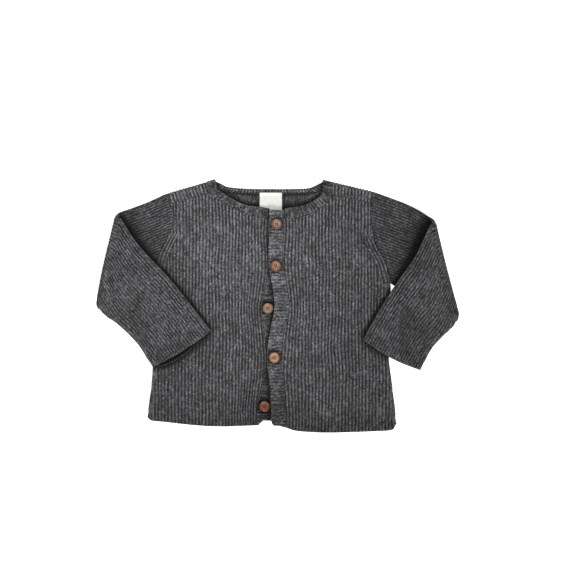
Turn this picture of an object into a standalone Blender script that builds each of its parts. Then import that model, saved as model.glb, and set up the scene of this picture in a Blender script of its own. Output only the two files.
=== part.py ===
"""Baby cardigan in one-by-one rib knit, laid flat on its back.

Both sleeves are folded in at the elbow, over the fronts. Left and right are the wearer's: the
wearer's left lies at +X. The neck points to +Y, and the cloth rests on the plane z = 0.
Every cloth piece is the middle surface of its wall, given its thickness by Solidify.
All sizes are in millimetres, and MM turns them into Blender's metres.
"""

import math
from collections import namedtuple

import bmesh
import bpy
from mathutils import Vector
from mathutils.geometry import intersect_point_line

MM = 0.001

# ---------------------------------------------------------------- the cloth
CLOTH = 2.0  # thickness of the rib knit
GAP = 0.3  # clearance between neighbouring pieces
SEAM_GAP = GAP + 0.05  # the same, measured flat at a seam whose two edges may differ in height
LAYER = CLOTH + GAP  # from the middle of one lying layer to the middle of the next
FLOOR = CLOTH / 2  # middle of a layer that lies on the table
ROLL = 1.6  # radius of the middle surface where the cloth turns over at an edge
SETTLE = 6.0  # distance over which a turned edge comes down to the layer below
TUBE_TOP = FLOOR + 2 * ROLL + CLOTH / 2  # top of two layers at a turned edge

# ---------------------------------------------------------------- the bands and the buttons
BAND_WIDTH = 16.0
BAND_TOP = 105.8
BUTTON_RADIUS = 6.2
BUTTON_HEIGHT = 2.6
BUTTON_RIM = 1.1
BUTTON_DISH = 0.5
HOLE_RADIUS = 0.75
HOLE_OFFSET = 1.25

# Where the two front bands run: a row for each height on the front, with the middle of the
# button band (under) and of the buttonhole band (over).
Placket = namedtuple("Placket", "y under over")
PLACKET = (
    Placket(-131.0, -13.6, 1.9),
    Placket(-110.0, -13.8, 1.3),
    Placket(-84.0, -8.6, -0.2),
    Placket(-56.0, -2.8, -3.2),
    Placket(-28.0, -6.2, 0.2),
    Placket(-2.0, -9.8, 5.2),
    Placket(20.0, -5.6, 3.4),
    Placket(45.0, -1.4, -1.0),
    Placket(90.0, -0.4, -0.2),
    Placket(BAND_TOP, -0.2, 0.0),
)

# A row for each button from the neck down: which band it lies on, its place, and its tilt.
Button = namedtuple("Button", "y x band lean turn")
BUTTONS = (
    Button(90.5, -0.2, "over", 3.0, 0.0),
    Button(44.5, -1.2, "over", 2.0, 20.0),
    Button(-2.2, -9.9, "under", 2.0, 0.0),
    Button(-56.2, -2.8, "over", 2.0, 45.0),
    Button(-110.0, -13.6, "under", 2.0, 15.0),
)

# Soft swellings of the fronts: centre, reach along and across, direction in degrees, height.
Swell = namedtuple("Swell", "x y along across angle height")
SWELLS = (
    Swell(-40.0, 52.0, 60.0, 26.0, 80.0, 0.9),
    Swell(-52.0, -96.0, 46.0, 22.0, 15.0, 0.9),
    Swell(48.0, 40.0, 56.0, 24.0, 95.0, 0.8),
    Swell(62.0, -92.0, 50.0, 24.0, -20.0, 1.1),
    Swell(38.0, -30.0, 50.0, 22.0, 70.0, 0.7),
)
NECK_LIFT = 1.9  # how far the front of the neck stands off the back

# ---------------------------------------------------------------- outlines, in plan
HEM_BACK = ((-142.0, -122.4), (131.0, -130.0))
BACK_NECK = (
    (-77.6, 136.2),
    (-70.0, 131.0),
    (-58.0, 127.2),
    (-34.0, 124.8),
    (-8.6, 124.6),
    (17.0, 124.8),
    (39.0, 126.0),
    (52.5, 130.2),
    (61.2, 136.2),
)
BACK_NECK_EDGE = (
    (-67.8, 138.6),
    (-62.0, 135.4),
    (-54.0, 131.6),
    (-34.0, 129.0),
    (-8.6, 128.6),
    (15.6, 128.6),
    (34.0, 129.9),
    (44.0, 134.0),
    (50.4, 138.6),
)
NECK_STEPS = (0.06, 0.13, 0.22, 0.36, 0.5, 0.64, 0.78, 0.87, 0.94)

# One side of the garment. The side, the armhole and the cuff's way run from the hem up or from
# the shoulder out, and the neck from the front band to the shoulder.
Side = namedtuple(
    "Side",
    "sign hem side_seam armhole shoulder_fold seam_in neck_seam neck_edge neck_fold "
    "top_edge fold_start fold_edge fold_end inner_edge under_hidden under_edge cuff_bow loft",
)
RIGHT = Side(
    sign=-1,
    hem=((-21.6, -131.0), (-39.0, -131.7), (-62.0, -132.3), (-86.0, -131.3), (-126.0, -127.1),
         (-139.2, -125.4), (-142.0, -122.4)),
    side_seam=((-142.0, -122.4), (-138.2, -94.0), (-135.4, -60.0), (-136.0, 34.0)),
    armhole=((-136.0, 34.0), (-130.5, 56.5), (-119.0, 79.5), (-112.8, 96.0), (-115.6, 109.0),
             (-120.4, 123.8)),
    shoulder_fold=((-120.4, 123.8), (-77.6, 136.2)),
    seam_in=(-74.2, 124.8),
    neck_seam=((-8.6, 97.2), (-19.1, 98.0), (-33.1, 101.3), (-47.0, 107.6), (-57.0, 112.6),
               (-66.0, 118.2), (-74.2, 124.8)),
    neck_edge=((-8.7, 107.6), (-19.1, 109.6), (-32.0, 111.2), (-42.0, 114.8), (-51.0, 119.8),
               (-59.0, 124.6), (-65.6, 129.4)),
    neck_fold=((-77.1, 136.4), (-67.6, 139.2)),
    top_edge=((-120.4, 123.8), (-146.0, 112.3), (-171.8, 103.2)),
    fold_start=((-171.8, 103.2), (-193.8, 1.8)),
    fold_edge=((-177.2, 98.8), (-189.2, 49.6), (-194.4, 25.0), (-198.3, 1.2)),
    fold_end=((-172.0, 96.4), (-193.8, -3.4)),
    inner_edge=((-172.0, 96.4), (-152.8, 67.6), (-117.2, 28.8), (-86.2, -9.9), (-72.8, -27.6)),
    under_hidden=((-136.0, 34.0), (-163.0, 22.0), (-193.8, 1.8)),
    under_edge=((-193.8, -3.4), (-186.4, -11.2), (-175.6, -18.5), (-152.8, -40.8),
                (-141.4, -57.6), (-135.6, -66.8)),
    cuff_bow=1.8,
    loft=(2.6, 1.8),
)
LEFT = Side(
    sign=1,
    hem=((10.4, -133.6), (20.0, -136.8), (37.5, -138.5), (57.0, -139.1), (80.0, -138.6),
         (107.7, -137.5), (127.2, -135.8), (131.0, -130.0)),
    side_seam=((131.0, -130.0), (127.0, -94.5), (123.0, -58.0), (124.6, 33.0)),
    armhole=((124.6, 33.0), (119.6, 49.5), (107.8, 71.5), (103.6, 94.0), (103.4, 108.0),
             (105.4, 125.6)),
    shoulder_fold=((105.4, 125.6), (61.2, 136.2)),
    seam_in=(60.6, 122.4),
    neck_seam=((9.0, 97.2), (20.2, 97.3), (32.9, 100.2), (41.4, 104.0), (48.4, 108.0),
               (56.5, 115.0), (60.6, 122.4)),
    neck_edge=((8.9, 107.6), (20.1, 109.6), (29.6, 111.6), (37.2, 114.6), (43.4, 118.4),
               (48.4, 122.8), (50.6, 128.2)),
    neck_fold=((60.7, 136.4), (50.4, 138.8)),
    top_edge=((105.4, 125.6), (136.2, 114.3), (153.0, 106.8), (168.2, 97.4)),
    fold_start=((168.2, 97.4), (194.2, -6.0)),
    fold_edge=((173.7, 92.4), (186.0, 42.0), (199.8, -8.4)),
    fold_end=((168.6, 89.2), (196.4, -16.6)),
    inner_edge=((168.6, 89.2), (151.0, 52.6), (134.8, 29.5), (113.4, -4.0), (95.2, -37.0)),
    under_hidden=((124.6, 33.0), (128.4, 26.4), (140.0, 19.0), (160.0, 9.0), (194.2, -6.0)),
    under_edge=((196.4, -16.6), (192.4, -22.8), (180.2, -34.4), (170.2, -45.7), (162.2, -60.2),
                (157.2, -70.2)),
    cuff_bow=3.3,
    loft=(4.0, 1.8),
)

# The back of the neckband has rolled over. Across it from its seam to its free edge: how far
# on towards the edge, and how high above its seam.
Curl = namedtuple("Curl", "on up")
CURL = (
    Curl(0.0, 0.0),
    Curl(0.26, 0.3),
    Curl(0.38, 2.0),
    Curl(0.66, 3.5),
    Curl(0.95, 2.2),
    Curl(1.0, 0.6),
)

# ---------------------------------------------------------------- the label
LABEL_X = (-19.0, 5.6)
LABEL_Y = (98.0, 122.6)
LABEL_THICKNESS = 1.0

# ---------------------------------------------------------------- colours
CHARCOAL = (0.075, 0.075, 0.078, 1.0)
CHARCOAL_BAND = (0.085, 0.085, 0.088, 1.0)
COPPER_BROWN = (0.42, 0.2, 0.1, 1.0)
LABEL_WHITE = (0.82, 0.81, 0.78, 1.0)


# ---------------------------------------------------------------- curves and patches
def smooth_path(points, marks=None):
    """A function that runs through the points in one smooth curve.

    It is called with 0 to 1 by distance, or with the values in marks where those are given.
    """
    points = [Vector(p) for p in points]
    if marks is None:
        marks = [0.0]
        for a, b in zip(points, points[1:]):
            marks.append(marks[-1] + (b - a).length)
        marks = [mark / marks[-1] for mark in marks]
    last = len(points) - 1
    slopes = []
    for i in range(last + 1):
        low, high = max(i - 1, 0), min(i + 1, last)
        slopes.append((points[high] - points[low]) / (marks[high] - marks[low]))

    def at(t):
        i = 0
        while i < last - 1 and t > marks[i + 1]:
            i += 1
        span = marks[i + 1] - marks[i]
        s = (t - marks[i]) / span
        start = points[i] * (2 * s**3 - 3 * s**2 + 1) + slopes[i] * span * (s**3 - 2 * s**2 + s)
        end = points[i + 1] * (3 * s**2 - 2 * s**3) + slopes[i + 1] * span * (s**3 - s**2)
        return start + end

    return at


def part_of(path, low, high):
    """The stretch of a path between two of its values, as a path of its own."""
    return lambda t: path(low + (high - low) * t)


def joined(first, second, at):
    """Two paths end to end, changing over at the value at."""
    return lambda t: first(t / at) if t < at else second((t - at) / (1 - at))


def fitted(path, start, end):
    """A path drawn over, more and more towards its ends, to run from start to end."""
    at_start, at_end = start - path(0.0), end - path(1.0)
    return lambda t: path(t) + at_start * (1 - t) + at_end * t


def patch(bottom, top, left, right, columns, vs):
    """Rows of plan points that fill the space between four boundary paths.

    columns gives the values across for the row at a value up.
    """
    left = fitted(left, bottom(0.0), top(0.0))
    right = fitted(right, bottom(1.0), top(1.0))
    rows = []
    for v in vs:
        row = []
        for u in columns(v):
            across = left(v) * (1 - u) + right(v) * u
            along = bottom(u) * (1 - v) + top(u) * v
            low = bottom(0.0) * (1 - u) + bottom(1.0) * u
            high = top(0.0) * (1 - u) + top(1.0) * u
            row.append(across + along - low * (1 - v) - high * v)
        rows.append(row)
    return rows


def steps(low, high, count):
    """count + 1 even steps from low to high."""
    return [low + (high - low) * i / count for i in range(count + 1)]


def ease(t):
    """0 below 0, 1 above 1, and smooth between."""
    t = min(max(t, 0.0), 1.0)
    return t * t * (3 - 2 * t)


def table_column(column):
    """A placket column as a smooth function of y."""
    path = smooth_path([(getattr(row, column), 0.0) for row in PLACKET], [row.y for row in PLACKET])
    return lambda y: path(min(max(y, PLACKET[0].y), PLACKET[-1].y))[0]


under_centre = table_column("under")
over_centre = table_column("over")


# ---------------------------------------------------------------- heights of the lying layers
def turned(distance):
    """How far above LAYER the upper layer stands near a turned edge."""
    return (2 * ROLL - LAYER) * math.exp(-(((distance - ROLL) / SETTLE) ** 2))


def swelling(x, y):
    total = 0.0
    for s in SWELLS:
        turn = math.radians(s.angle)
        along = (x - s.x) * math.cos(turn) + (y - s.y) * math.sin(turn)
        across = (y - s.y) * math.cos(turn) - (x - s.x) * math.sin(turn)
        total += s.height * math.exp(-((along / s.along) ** 2) - (across / s.across) ** 2)
    return total


def shoulder_rise(x, y):
    """How much higher the front layer stands near the turn of the shoulders."""
    rise = 0.0
    for side in (RIGHT, LEFT):
        foot = intersect_point_line(Vector((x, y)), *[Vector(p) for p in side.shoulder_fold])[0]
        rise += turned((foot - Vector((x, y))).length)
    return rise


def front_height(x, y):
    """Middle of the front layer, above the table."""
    across = (x + 8.0) / 52.0
    neck = NECK_LIFT * ease((y - 52.0) / 44.0) * math.exp(-(across**4))
    return FLOOR + LAYER + neck + swelling(x, y) + shoulder_rise(x, y)


def over_height(x, y):
    """Middle of the left front, which lies over the button band along its inner edge."""
    past = x - (under_centre(y) + BAND_WIDTH / 2 + 1.5)
    return front_height(x, y) + LAYER * (1 - ease(past / 15.0))


# ---------------------------------------------------------------- solids from surfaces
def material(name, colour, roughness):
    made = bpy.data.materials.new(name)
    made.diffuse_color = colour
    made.use_nodes = True
    shader = made.node_tree.nodes["Principled BSDF"]
    shader.inputs["Base Color"].default_value = colour
    shader.inputs["Roughness"].default_value = roughness
    return made


def add_object(name, mesh, finish, garment):
    mesh.materials.append(finish)
    made = bpy.data.objects.new(name, mesh)
    garment.objects.link(made)
    return made


def cloth_piece(name, rows, finish, garment, ring=False, skip=(), thickness=CLOTH):
    """A wall on rows of middle points, joined side to side, and into tubes where ring is set.

    skip names the cells, by row and column, that are left open. A tube's two layers are split
    into triangles alike, so that they keep their distance.
    """
    mesh = bpy.data.meshes.new(name)
    sheet = bmesh.new()
    grid = [[sheet.verts.new(Vector(p) * MM) for p in row] for row in rows]
    columns = len(rows[0])
    for j in range(len(rows) - 1):
        for i in range(columns if ring else columns - 1):
            if (j, i) in skip:
                continue
            k = (i + 1) % columns
            corners = (grid[j][i], grid[j][k], grid[j + 1][k], grid[j + 1][i])
            if ring and i >= columns // 2:
                corners = corners[1:] + corners[:1]
            sheet.faces.new(corners[:3])
            sheet.faces.new((corners[0], corners[2], corners[3]))
    loose = [vert for vert in sheet.verts if not vert.link_faces]
    bmesh.ops.delete(sheet, geom=loose, context="VERTS")
    sheet.to_mesh(mesh)
    sheet.free()
    mesh.shade_smooth()
    made = add_object(name, mesh, finish, garment)
    wall = made.modifiers.new("Wall", "SOLIDIFY")
    wall.thickness = thickness * MM
    wall.offset = 0.0
    wall.use_even_offset = False
    return made


# ---------------------------------------------------------------- the body
ARMPIT = 0.62  # where a panel's outer edge passes from the side seam to the armhole
SEAM_SHARE = 0.885  # where the shoulder seam meets the armhole
ROLL_SHARE = 1.0 - math.sqrt(0.5)  # a turned edge's half-way point, as a share of its radius
EDGE_LIFTS = (0.0, 0.24, 0.66, 1.0)  # climb of a turned edge's last four columns


def edge_columns(width):
    """Distances from a turned edge of its last four columns, as shares of a panel's width."""
    return [ROLL / width, ROLL * ROLL_SHARE / width, 0.0, 0.0]


def turned_share(v):
    """1 along the side seam, whose edges are turned, and 0 along the armhole."""
    return 1.0 - ease((v - ARMPIT + 0.05) / 0.05)


def lower_turned_share(v):
    """The same for the lower panel, which flattens out first below the armpit."""
    return turned_share(v + 0.025)


def mixed(first, second, share):
    return [a * share + b * (1 - share) for a, b in zip(first, second)]


def side_rows():
    """Values up a body panel: the side seam, then the armhole."""
    return [*steps(0.0, ARMPIT - 0.05, 7), ARMPIT - 0.025, *steps(ARMPIT, 1.0, 8)]


def armhole_rows(side):
    """The armhole from the armpit up, moved in by the seam's clearance."""
    path = smooth_path(side.armhole)
    return lambda t: path(t) - Vector((side.sign * SEAM_GAP, 0.0))


def front_inner(side, inner_x, v):
    """The seam between a front and its band, at a value up the front."""
    low, high = side.hem[0][1], side.neck_seam[0][1]
    y = low + (high - low) * v
    return Vector((inner_x(y), y))


NECK_VALUE = 0.58  # where a front's top edge passes from the neck to the shoulder seam
FRONT_NECK = [i / 7 for i in range(8)]


def build_front(name, side, inner_x, height, finish, garment):
    """One front, from its band's seam out to the side, and from the hem to neck and shoulder."""
    armhole = part_of(armhole_rows(side), 0.0, SEAM_SHARE)
    side_seam = fitted(smooth_path(side.side_seam), Vector(side.side_seam[0]), armhole(0.0))
    outer = joined(side_seam, armhole, ARMPIT)
    hem = smooth_path(side.hem)
    hem = fitted(hem, front_inner(side, inner_x, 0.0), hem(1.0))
    neck = fitted(
        smooth_path(side.neck_seam), front_inner(side, inner_x, 1.0), Vector(side.seam_in)
    )
    top = joined(neck, smooth_path((side.seam_in, armhole(1.0))), NECK_VALUE)

    tight = [1.0 - share for share in edge_columns(130.0)]
    loose = [0.925, 0.95, 0.975, 1.0]
    inner_columns = [*[t * NECK_VALUE for t in FRONT_NECK], 0.72, 0.86]
    rows = []
    vs = side_rows()
    plan_rows = patch(
        hem,
        top,
        lambda v: front_inner(side, inner_x, v),
        outer,
        lambda v: [*inner_columns, *mixed(tight, loose, turned_share(v))],
        vs,
    )
    for v, plan in zip(vs, plan_rows):
        rolled = turned_share(v)
        row = []
        for i, point in enumerate(plan):
            from_edge = (plan[-1] - point).length
            flat = height(*point) + turned(from_edge) * rolled
            z = flat
            if i >= len(plan) - 4:
                lift = EDGE_LIFTS[i - len(plan) + 4]
                top_z = height(*point) + turned(ROLL)
                z += (top_z + (FLOOR + ROLL + GAP / 2 - top_z) * lift - flat) * rolled
            row.append((*point, z))
        rows.append(row)
    return cloth_piece(name, rows, finish, garment)


# Across a shoulder from its fold: how far on, and the climb over the middle of the fold. The last
# two steps lie on the garment, and the very last is at the shoulder seam.
Flap = namedtuple("Flap", "distance climb")
FLAP = (
    Flap(ROLL * ROLL_SHARE, ROLL * math.sqrt(0.5)),
    Flap(ROLL, ROLL),
    Flap(6.0, None),
    Flap(None, None),
)


def build_back(finish, garment):
    """The back, with its two shoulders turned over the fold to the front of the garment."""
    left = joined(smooth_path(RIGHT.side_seam), armhole_rows(RIGHT), ARMPIT)
    right = joined(smooth_path(LEFT.side_seam), armhole_rows(LEFT), ARMPIT)
    first, last = 0.2, 0.8
    neck = smooth_path(BACK_NECK)
    right_fold = smooth_path((armhole_rows(RIGHT)(1.0), RIGHT.shoulder_fold[1]))
    left_fold = smooth_path((armhole_rows(LEFT)(1.0), LEFT.shoulder_fold[1]))

    def top(u):
        if u <= first:
            return right_fold(u / first)
        if u >= last:
            return left_fold((1 - u) / (1 - last))
        return neck((u - first) / (last - first))

    width, height = 262.0, 254.0
    tight = edge_columns(width)[::-1]
    loose = [0.0, 0.02, 0.04, 0.06]
    middle = [0.12, first, *[first + (last - first) * t for t in NECK_STEPS], last, 0.88]

    def columns(v):
        edge = mixed(tight, loose, lower_turned_share(v))
        return [*edge, *middle, *[1 - u for u in reversed(edge)]]

    rise = [1.0 - ROLL / height, 1.0 - ROLL * ROLL_SHARE / height, 1.0]
    vs = [*side_rows()[:-1], *rise]
    plan = patch(smooth_path(HEM_BACK), top, left, right, columns, vs)
    us = columns(1.0)
    count = len(us)
    shoulder = [u <= first + 1e-6 or u >= last - 1e-6 for u in us]
    rows = []
    for j, v in enumerate(vs):
        from_top = len(vs) - 1 - j
        row = []
        for i, point in enumerate(plan[j]):
            z = FLOOR
            index = min(i, count - 1 - i)
            if index < 4:
                z += (ROLL - GAP / 2) * EDGE_LIFTS[3 - index] * lower_turned_share(v)
            if from_top < 2 and shoulder[i]:
                z = FLOOR + ROLL * (1.0 if from_top == 0 else ROLL_SHARE)
            row.append((*point, z))
        rows.append(row)
    fold_row = len(rows) - 1
    for step in FLAP:
        row = []
        for i, point in enumerate(plan[-1]):
            side = RIGHT if i < count / 2 else LEFT
            share = us[i] / first if side is RIGHT else (1 - us[i]) / (1 - last)
            end = armhole_rows(side)(SEAM_SHARE) * (1 - share) + Vector(side.seam_in) * share
            way = end - point
            travelled = way.length - SEAM_GAP if step.distance is None else step.distance
            x, y = point + way * (travelled / way.length)
            z = front_height(x, y) if step.climb is None else FLOOR + ROLL + step.climb
            row.append((x, y, z))
        rows.append(row)
    skip = set()
    for i in range(count - 1):
        if not (shoulder[i] and shoulder[i + 1]) or us[i] < 0.5 < us[i + 1]:
            skip.update((j, i) for j in range(fold_row - 2, len(rows) - 1))
    return cloth_piece("back", rows, finish, garment, skip=skip)


# ---------------------------------------------------------------- the front bands
def build_band(name, side, centre, height, free_hem, finish, garment):
    """A front band, from its seam with its front to its free edge, hem to neck."""
    low, high = side.hem[0][1], side.neck_seam[0][1]
    vs = [*side_rows(), 1.0 + (BAND_TOP - high) / (high - low)]
    rows = []
    for v in vs:
        row = []
        for toward_free in steps(0.0, 1.0, 4):
            hem = low + (free_hem - low) * toward_free**2
            y = hem + (high - hem) * v
            x = centre(y) + side.sign * (0.5 - toward_free) * BAND_WIDTH
            row.append((x, y, height(x, y)))
        rows.append(row)
    return cloth_piece(name, rows, finish, garment)


# ---------------------------------------------------------------- the neckband
def collar_row(seam, edge, height, curl):
    """Points across the neckband at one station, from its seam to its free edge."""
    away = (edge - seam).normalized()
    seam = seam + away * (GAP + 0.1)
    row = []
    for i, bend in enumerate(CURL):
        flat = seam + (edge - seam) * i / (len(CURL) - 1)
        curled = seam + (edge - seam) * bend.on
        plan = flat + (curled - flat) * curl
        row.append((*plan, height(*plan) + bend.up * curl))
    return row


def neck_fold_rows(line, inward):
    """The neckband's turn over the shoulder, from the front layer round to the back layer."""
    ends = [Vector(p) for p in line]
    rows = []
    for degrees in (0.0, 45.0, 90.0, 135.0, 180.0):
        turn = math.radians(degrees)
        row = []
        for share in steps(0.0, 1.0, len(CURL) - 1):
            point = ends[0] + (ends[1] - ends[0]) * share
            point = point + Vector(inward) * ROLL * (1 - math.sin(turn))
            row.append((*point, FLOOR + ROLL + ROLL * math.cos(turn)))
        rows.append(row)
    return rows


def front_collar(side, height):
    """Rows of the neckband along one front, from the front band to the shoulder."""
    seam, edge = smooth_path(side.neck_seam), smooth_path(side.neck_edge)
    rows = [collar_row(seam(t), edge(t), height, 0.0) for t in FRONT_NECK]
    low = seam(1.0).lerp(Vector(side.shoulder_fold[1]), 0.45)
    free = edge(1.0).lerp(Vector(side.neck_fold[1]), 0.45)
    return [*rows, collar_row(low, free, height, 0.0)]


def build_neckband(finish, garment):
    seam, edge = smooth_path(BACK_NECK), smooth_path(BACK_NECK_EDGE)
    drop = Vector((0.0, -ROLL))
    back = []
    for t in NECK_STEPS:
        curl = ease((0.5 - abs(t - 0.5)) / 0.24 - 0.25)
        back.append(collar_row(seam(t) + drop, edge(t), lambda x, y: FLOOR, curl))
    rows = front_collar(RIGHT, front_height)
    rows += neck_fold_rows(RIGHT.neck_fold, (0.27, -0.96))
    rows += back
    rows += reversed(neck_fold_rows(LEFT.neck_fold, (-0.23, -0.97)))
    rows += reversed(front_collar(LEFT, over_height))
    return cloth_piece("neckband", rows, finish, garment)


# ---------------------------------------------------------------- the sleeves
def outside_by(point, outline):
    """Distance in plan from a point to a closed outline, negative inside it."""
    point = Vector(point)
    nearest = 1e9
    inside = False
    for a, b in zip(outline, outline[1:] + outline[:1]):
        share = min(max(intersect_point_line(point, a, b)[1], 0.0), 1.0)
        nearest = min(nearest, (a + (b - a) * share - point).length)
        if (a[1] > point[1]) != (b[1] > point[1]):
            crossing = a[0] + (point[1] - a[1]) / (b[1] - a[1]) * (b[0] - a[0])
            inside ^= point[0] < crossing
    return -nearest if inside else nearest


def body_outline():
    points = [p for p in RIGHT.side_seam[::-1]] + [p for p in LEFT.side_seam]
    points += [*LEFT.armhole[1:], *RIGHT.armhole[:0:-1]]
    return [Vector(p) for p in points]


def upper_arm_outline(side):
    points = [*side.top_edge, *side.fold_edge, *side.under_hidden[::-1]]
    return [Vector(p) for p in points] + [Vector(p) for p in side.armhole[1:-1]]


def support(side):
    """A function of plan position: the height that a layer laid over the garment comes to."""
    outlines = (body_outline(), upper_arm_outline(side))
    reach = 20.0  # how far past an edge the cloth takes to come down to the table

    def at(x, y):
        distance = min(outside_by((x, y), outline) for outline in outlines)
        top = front_height(x, y) + CLOTH / 2 + 2 * ROLL - LAYER
        return top * (1 - ease((distance - 5.0) / reach))

    return at


def steepness(height, x, y):
    """How much more than its thickness a layer takes up, straight up, on a sloping height."""
    slope_x = (height(x + 1.0, y) - height(x - 1.0, y)) / 2
    slope_y = (height(x, y + 1.0) - height(x, y - 1.0)) / 2
    return math.sqrt(1.0 + slope_x**2 + slope_y**2)


def ring_layout(width):
    """Ring points as (place from top edge to under edge, height above the first layer, run).

    run is 0 in the turned ends, 1 along the first layer and 2 along the second.
    """
    near, far = ROLL * ROLL_SHARE / width, ROLL / width
    across = [0.08, 0.24, 0.42, 0.6, 0.78, 0.92]
    layout = [(0.0, ROLL, 0), (near, ROLL * ROLL_SHARE, 0), (far, 0.0, 1)]
    layout += [(a, 0.0, 1) for a in across]
    layout += [(1 - far, 0.0, 1), (1 - near, ROLL * ROLL_SHARE, 0), (1.0, ROLL, 0)]
    high = ROLL * (2 - ROLL_SHARE)
    layout += [(1 - near, high, 0), (1 - far, 2 * ROLL, 2)]
    layout += [(a, 2 * ROLL, 2) for a in reversed(across)]
    layout += [(far, 2 * ROLL, 2), (near, high, 0)]
    return layout


def build_sleeve(name, side, finish, garment):
    """A flattened tube from the armhole to the elbow fold, over it, and down to the cuff."""
    width = 76.0
    layout = ring_layout(width)
    places = [a for a, _, _ in layout]
    armhole = smooth_path(side.armhole)
    fold_start = smooth_path(side.fold_start)
    fold_edge = smooth_path(side.fold_edge)
    fold_end = smooth_path(side.fold_end)
    resting = support(side)

    def shoulder_line(u):
        return armhole(1 - 0.982 * u) + Vector((side.sign * (GAP + 0.3), 0.0))

    def cuff_line(u):
        a, b = Vector(side.inner_edge[-1]), Vector(side.under_edge[-1])
        out = Vector((b[1] - a[1], a[0] - b[0])).normalized() * side.sign
        return a + (b - a) * u + out * side.cuff_bow * math.sin(math.pi * u)

    def sag(place):
        edge = min(place, 1 - place) * width
        return 2 * ROLL - LAYER - turned(edge)

    def loft(place):
        return side.loft[0] * (1 - place) + side.loft[1] * place

    def base_height(point, place, travelled):
        """Middle of the forearm's lower layer, loose near the fold and resting further on."""
        slack = (2 * loft(place) - CLOTH - GAP) * math.exp(-((travelled / 34.0) ** 2))
        settled = resting(*point) + (GAP + CLOTH / 2) * steepness(resting, *point)
        return settled + slack * ease(resting(*point) / TUBE_TOP)

    rows = []
    shares = steps(0.0, 1.0, 5)
    edges = (smooth_path(side.top_edge), smooth_path(side.under_hidden))
    upper = patch(shoulder_line, fold_start, *edges, lambda v: places, shares)
    for plan in upper[:-1]:
        row = []
        for point, (place, h, run) in zip(plan, layout):
            row.append((*point, FLOOR + h - (sag(place) if run == 2 else 0.0)))
        rows.append(row)

    along = (fold_edge(1.0) - fold_edge(0.0)).normalized()
    outward = Vector((-along[1], along[0]))
    outward = outward if outward[0] * side.sign > 0 else -outward
    for degrees in steps(0.0, 180.0, 8):
        turn = math.radians(degrees)
        row = []
        for place, h, run in layout:
            start, end = fold_start(place), fold_end(place)
            axis = (FLOOR + 2 * ROLL + base_height(end, place, 0.0)) / 2
            folded = h
            if run == 2:
                folded -= sag(place) * max(math.cos(turn), 0.0)
            if run == 1:
                folded += sag(place) * max(-math.cos(turn), 0.0)
            reach = axis - FLOOR - folded
            bulge = fold_edge(place) - (start + end) / 2 - outward * (axis - FLOOR)
            plan = start + (end - start) * (1 - math.cos(turn)) / 2
            plan = plan + (bulge + outward * reach) * math.sin(turn)
            row.append((*plan, axis - reach * math.cos(turn)))
        rows.append(row)

    edges = (smooth_path(side.inner_edge), smooth_path(side.under_edge))
    shares = steps(0.0, 1.0, 9)
    lower = patch(fold_end, cuff_line, *edges, lambda v: places, shares)
    length = (Vector(side.inner_edge[-1]) - Vector(side.inner_edge[0])).length
    for share, plan in list(zip(shares, lower))[1:]:
        row = []
        for point, (place, h, run) in zip(plan, layout):
            apart = 2 * ROLL - h - (sag(place) if run == 1 else 0.0)
            apart *= steepness(resting, *point)
            row.append((*point, base_height(point, place, share * length) + apart))
        rows.append(row)
    return cloth_piece(name, rows, finish, garment, ring=True)


# ---------------------------------------------------------------- buttons and label
def build_button(index, button, finish, garment):
    """A round button with a raised rim and four sewing holes."""
    rise = over_height if button.band == "over" else front_height
    below = rise(button.x, button.y) + CLOTH / 2
    mesh = bpy.data.meshes.new(f"button_{index}")
    disc = bmesh.new()
    bmesh.ops.create_cone(
        disc,
        cap_ends=True,
        segments=24,
        radius1=BUTTON_RADIUS * MM,
        radius2=BUTTON_RADIUS * MM,
        depth=BUTTON_HEIGHT * MM,
    )
    top = max(disc.faces, key=lambda face: face.calc_center_median().z)
    bmesh.ops.inset_region(disc, faces=[top], thickness=BUTTON_RIM * MM)
    bmesh.ops.translate(disc, verts=top.verts, vec=(0.0, 0.0, -BUTTON_DISH * MM))
    disc.to_mesh(mesh)
    disc.free()
    made = add_object(f"button_{index}", mesh, finish, garment)
    for i in range(4):
        angle = math.radians(45.0 + 90.0 * i)
        hole = bpy.data.meshes.new("hole")
        drill = bmesh.new()
        bmesh.ops.create_cone(
            drill,
            cap_ends=True,
            segments=8,
            radius1=HOLE_RADIUS * MM,
            radius2=HOLE_RADIUS * MM,
            depth=3 * BUTTON_HEIGHT * MM,
        )
        drill.to_mesh(hole)
        drill.free()
        cutter = bpy.data.objects.new(f"button_{index}_drill_{i}", hole)
        CUTTERS.objects.link(cutter)
        cutter.parent = made
        spread = HOLE_OFFSET * math.sqrt(2.0)
        cutter.location = (spread * math.cos(angle) * MM, spread * math.sin(angle) * MM, 0.0)
        cutter.hide_render = True
        cutter.display_type = "WIRE"
        cut = made.modifiers.new(f"Hole {i}", "BOOLEAN")
        cut.operation = "DIFFERENCE"
        cut.object = cutter
    lean = math.radians(button.lean)
    clear = GAP + 0.2 + BUTTON_RADIUS * math.sin(lean)
    made.location = (button.x * MM, button.y * MM, (below + clear + BUTTON_HEIGHT / 2) * MM)
    made.rotation_euler = (lean, 0.0, math.radians(button.turn))
    return made


def build_label(finish, garment):
    """A doubled woven tab, sewn in at the back of the neck and lying on the inside of the back."""
    rows = []
    for share in steps(0.0, 1.0, 4):
        y = LABEL_Y[0] + (LABEL_Y[1] - LABEL_Y[0]) * share
        height = FLOOR + CLOTH / 2 + GAP + LABEL_THICKNESS / 2
        bend = 0.35 * math.sin(math.pi * share)
        rows.append([(x, y, height + bend) for x in steps(*LABEL_X, 3)])
    return cloth_piece("label", rows, finish, garment, thickness=LABEL_THICKNESS)


# ---------------------------------------------------------------- the whole cardigan
def new_collection(name):
    made = bpy.data.collections.new(name)
    bpy.context.scene.collection.children.link(made)
    return made


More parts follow.
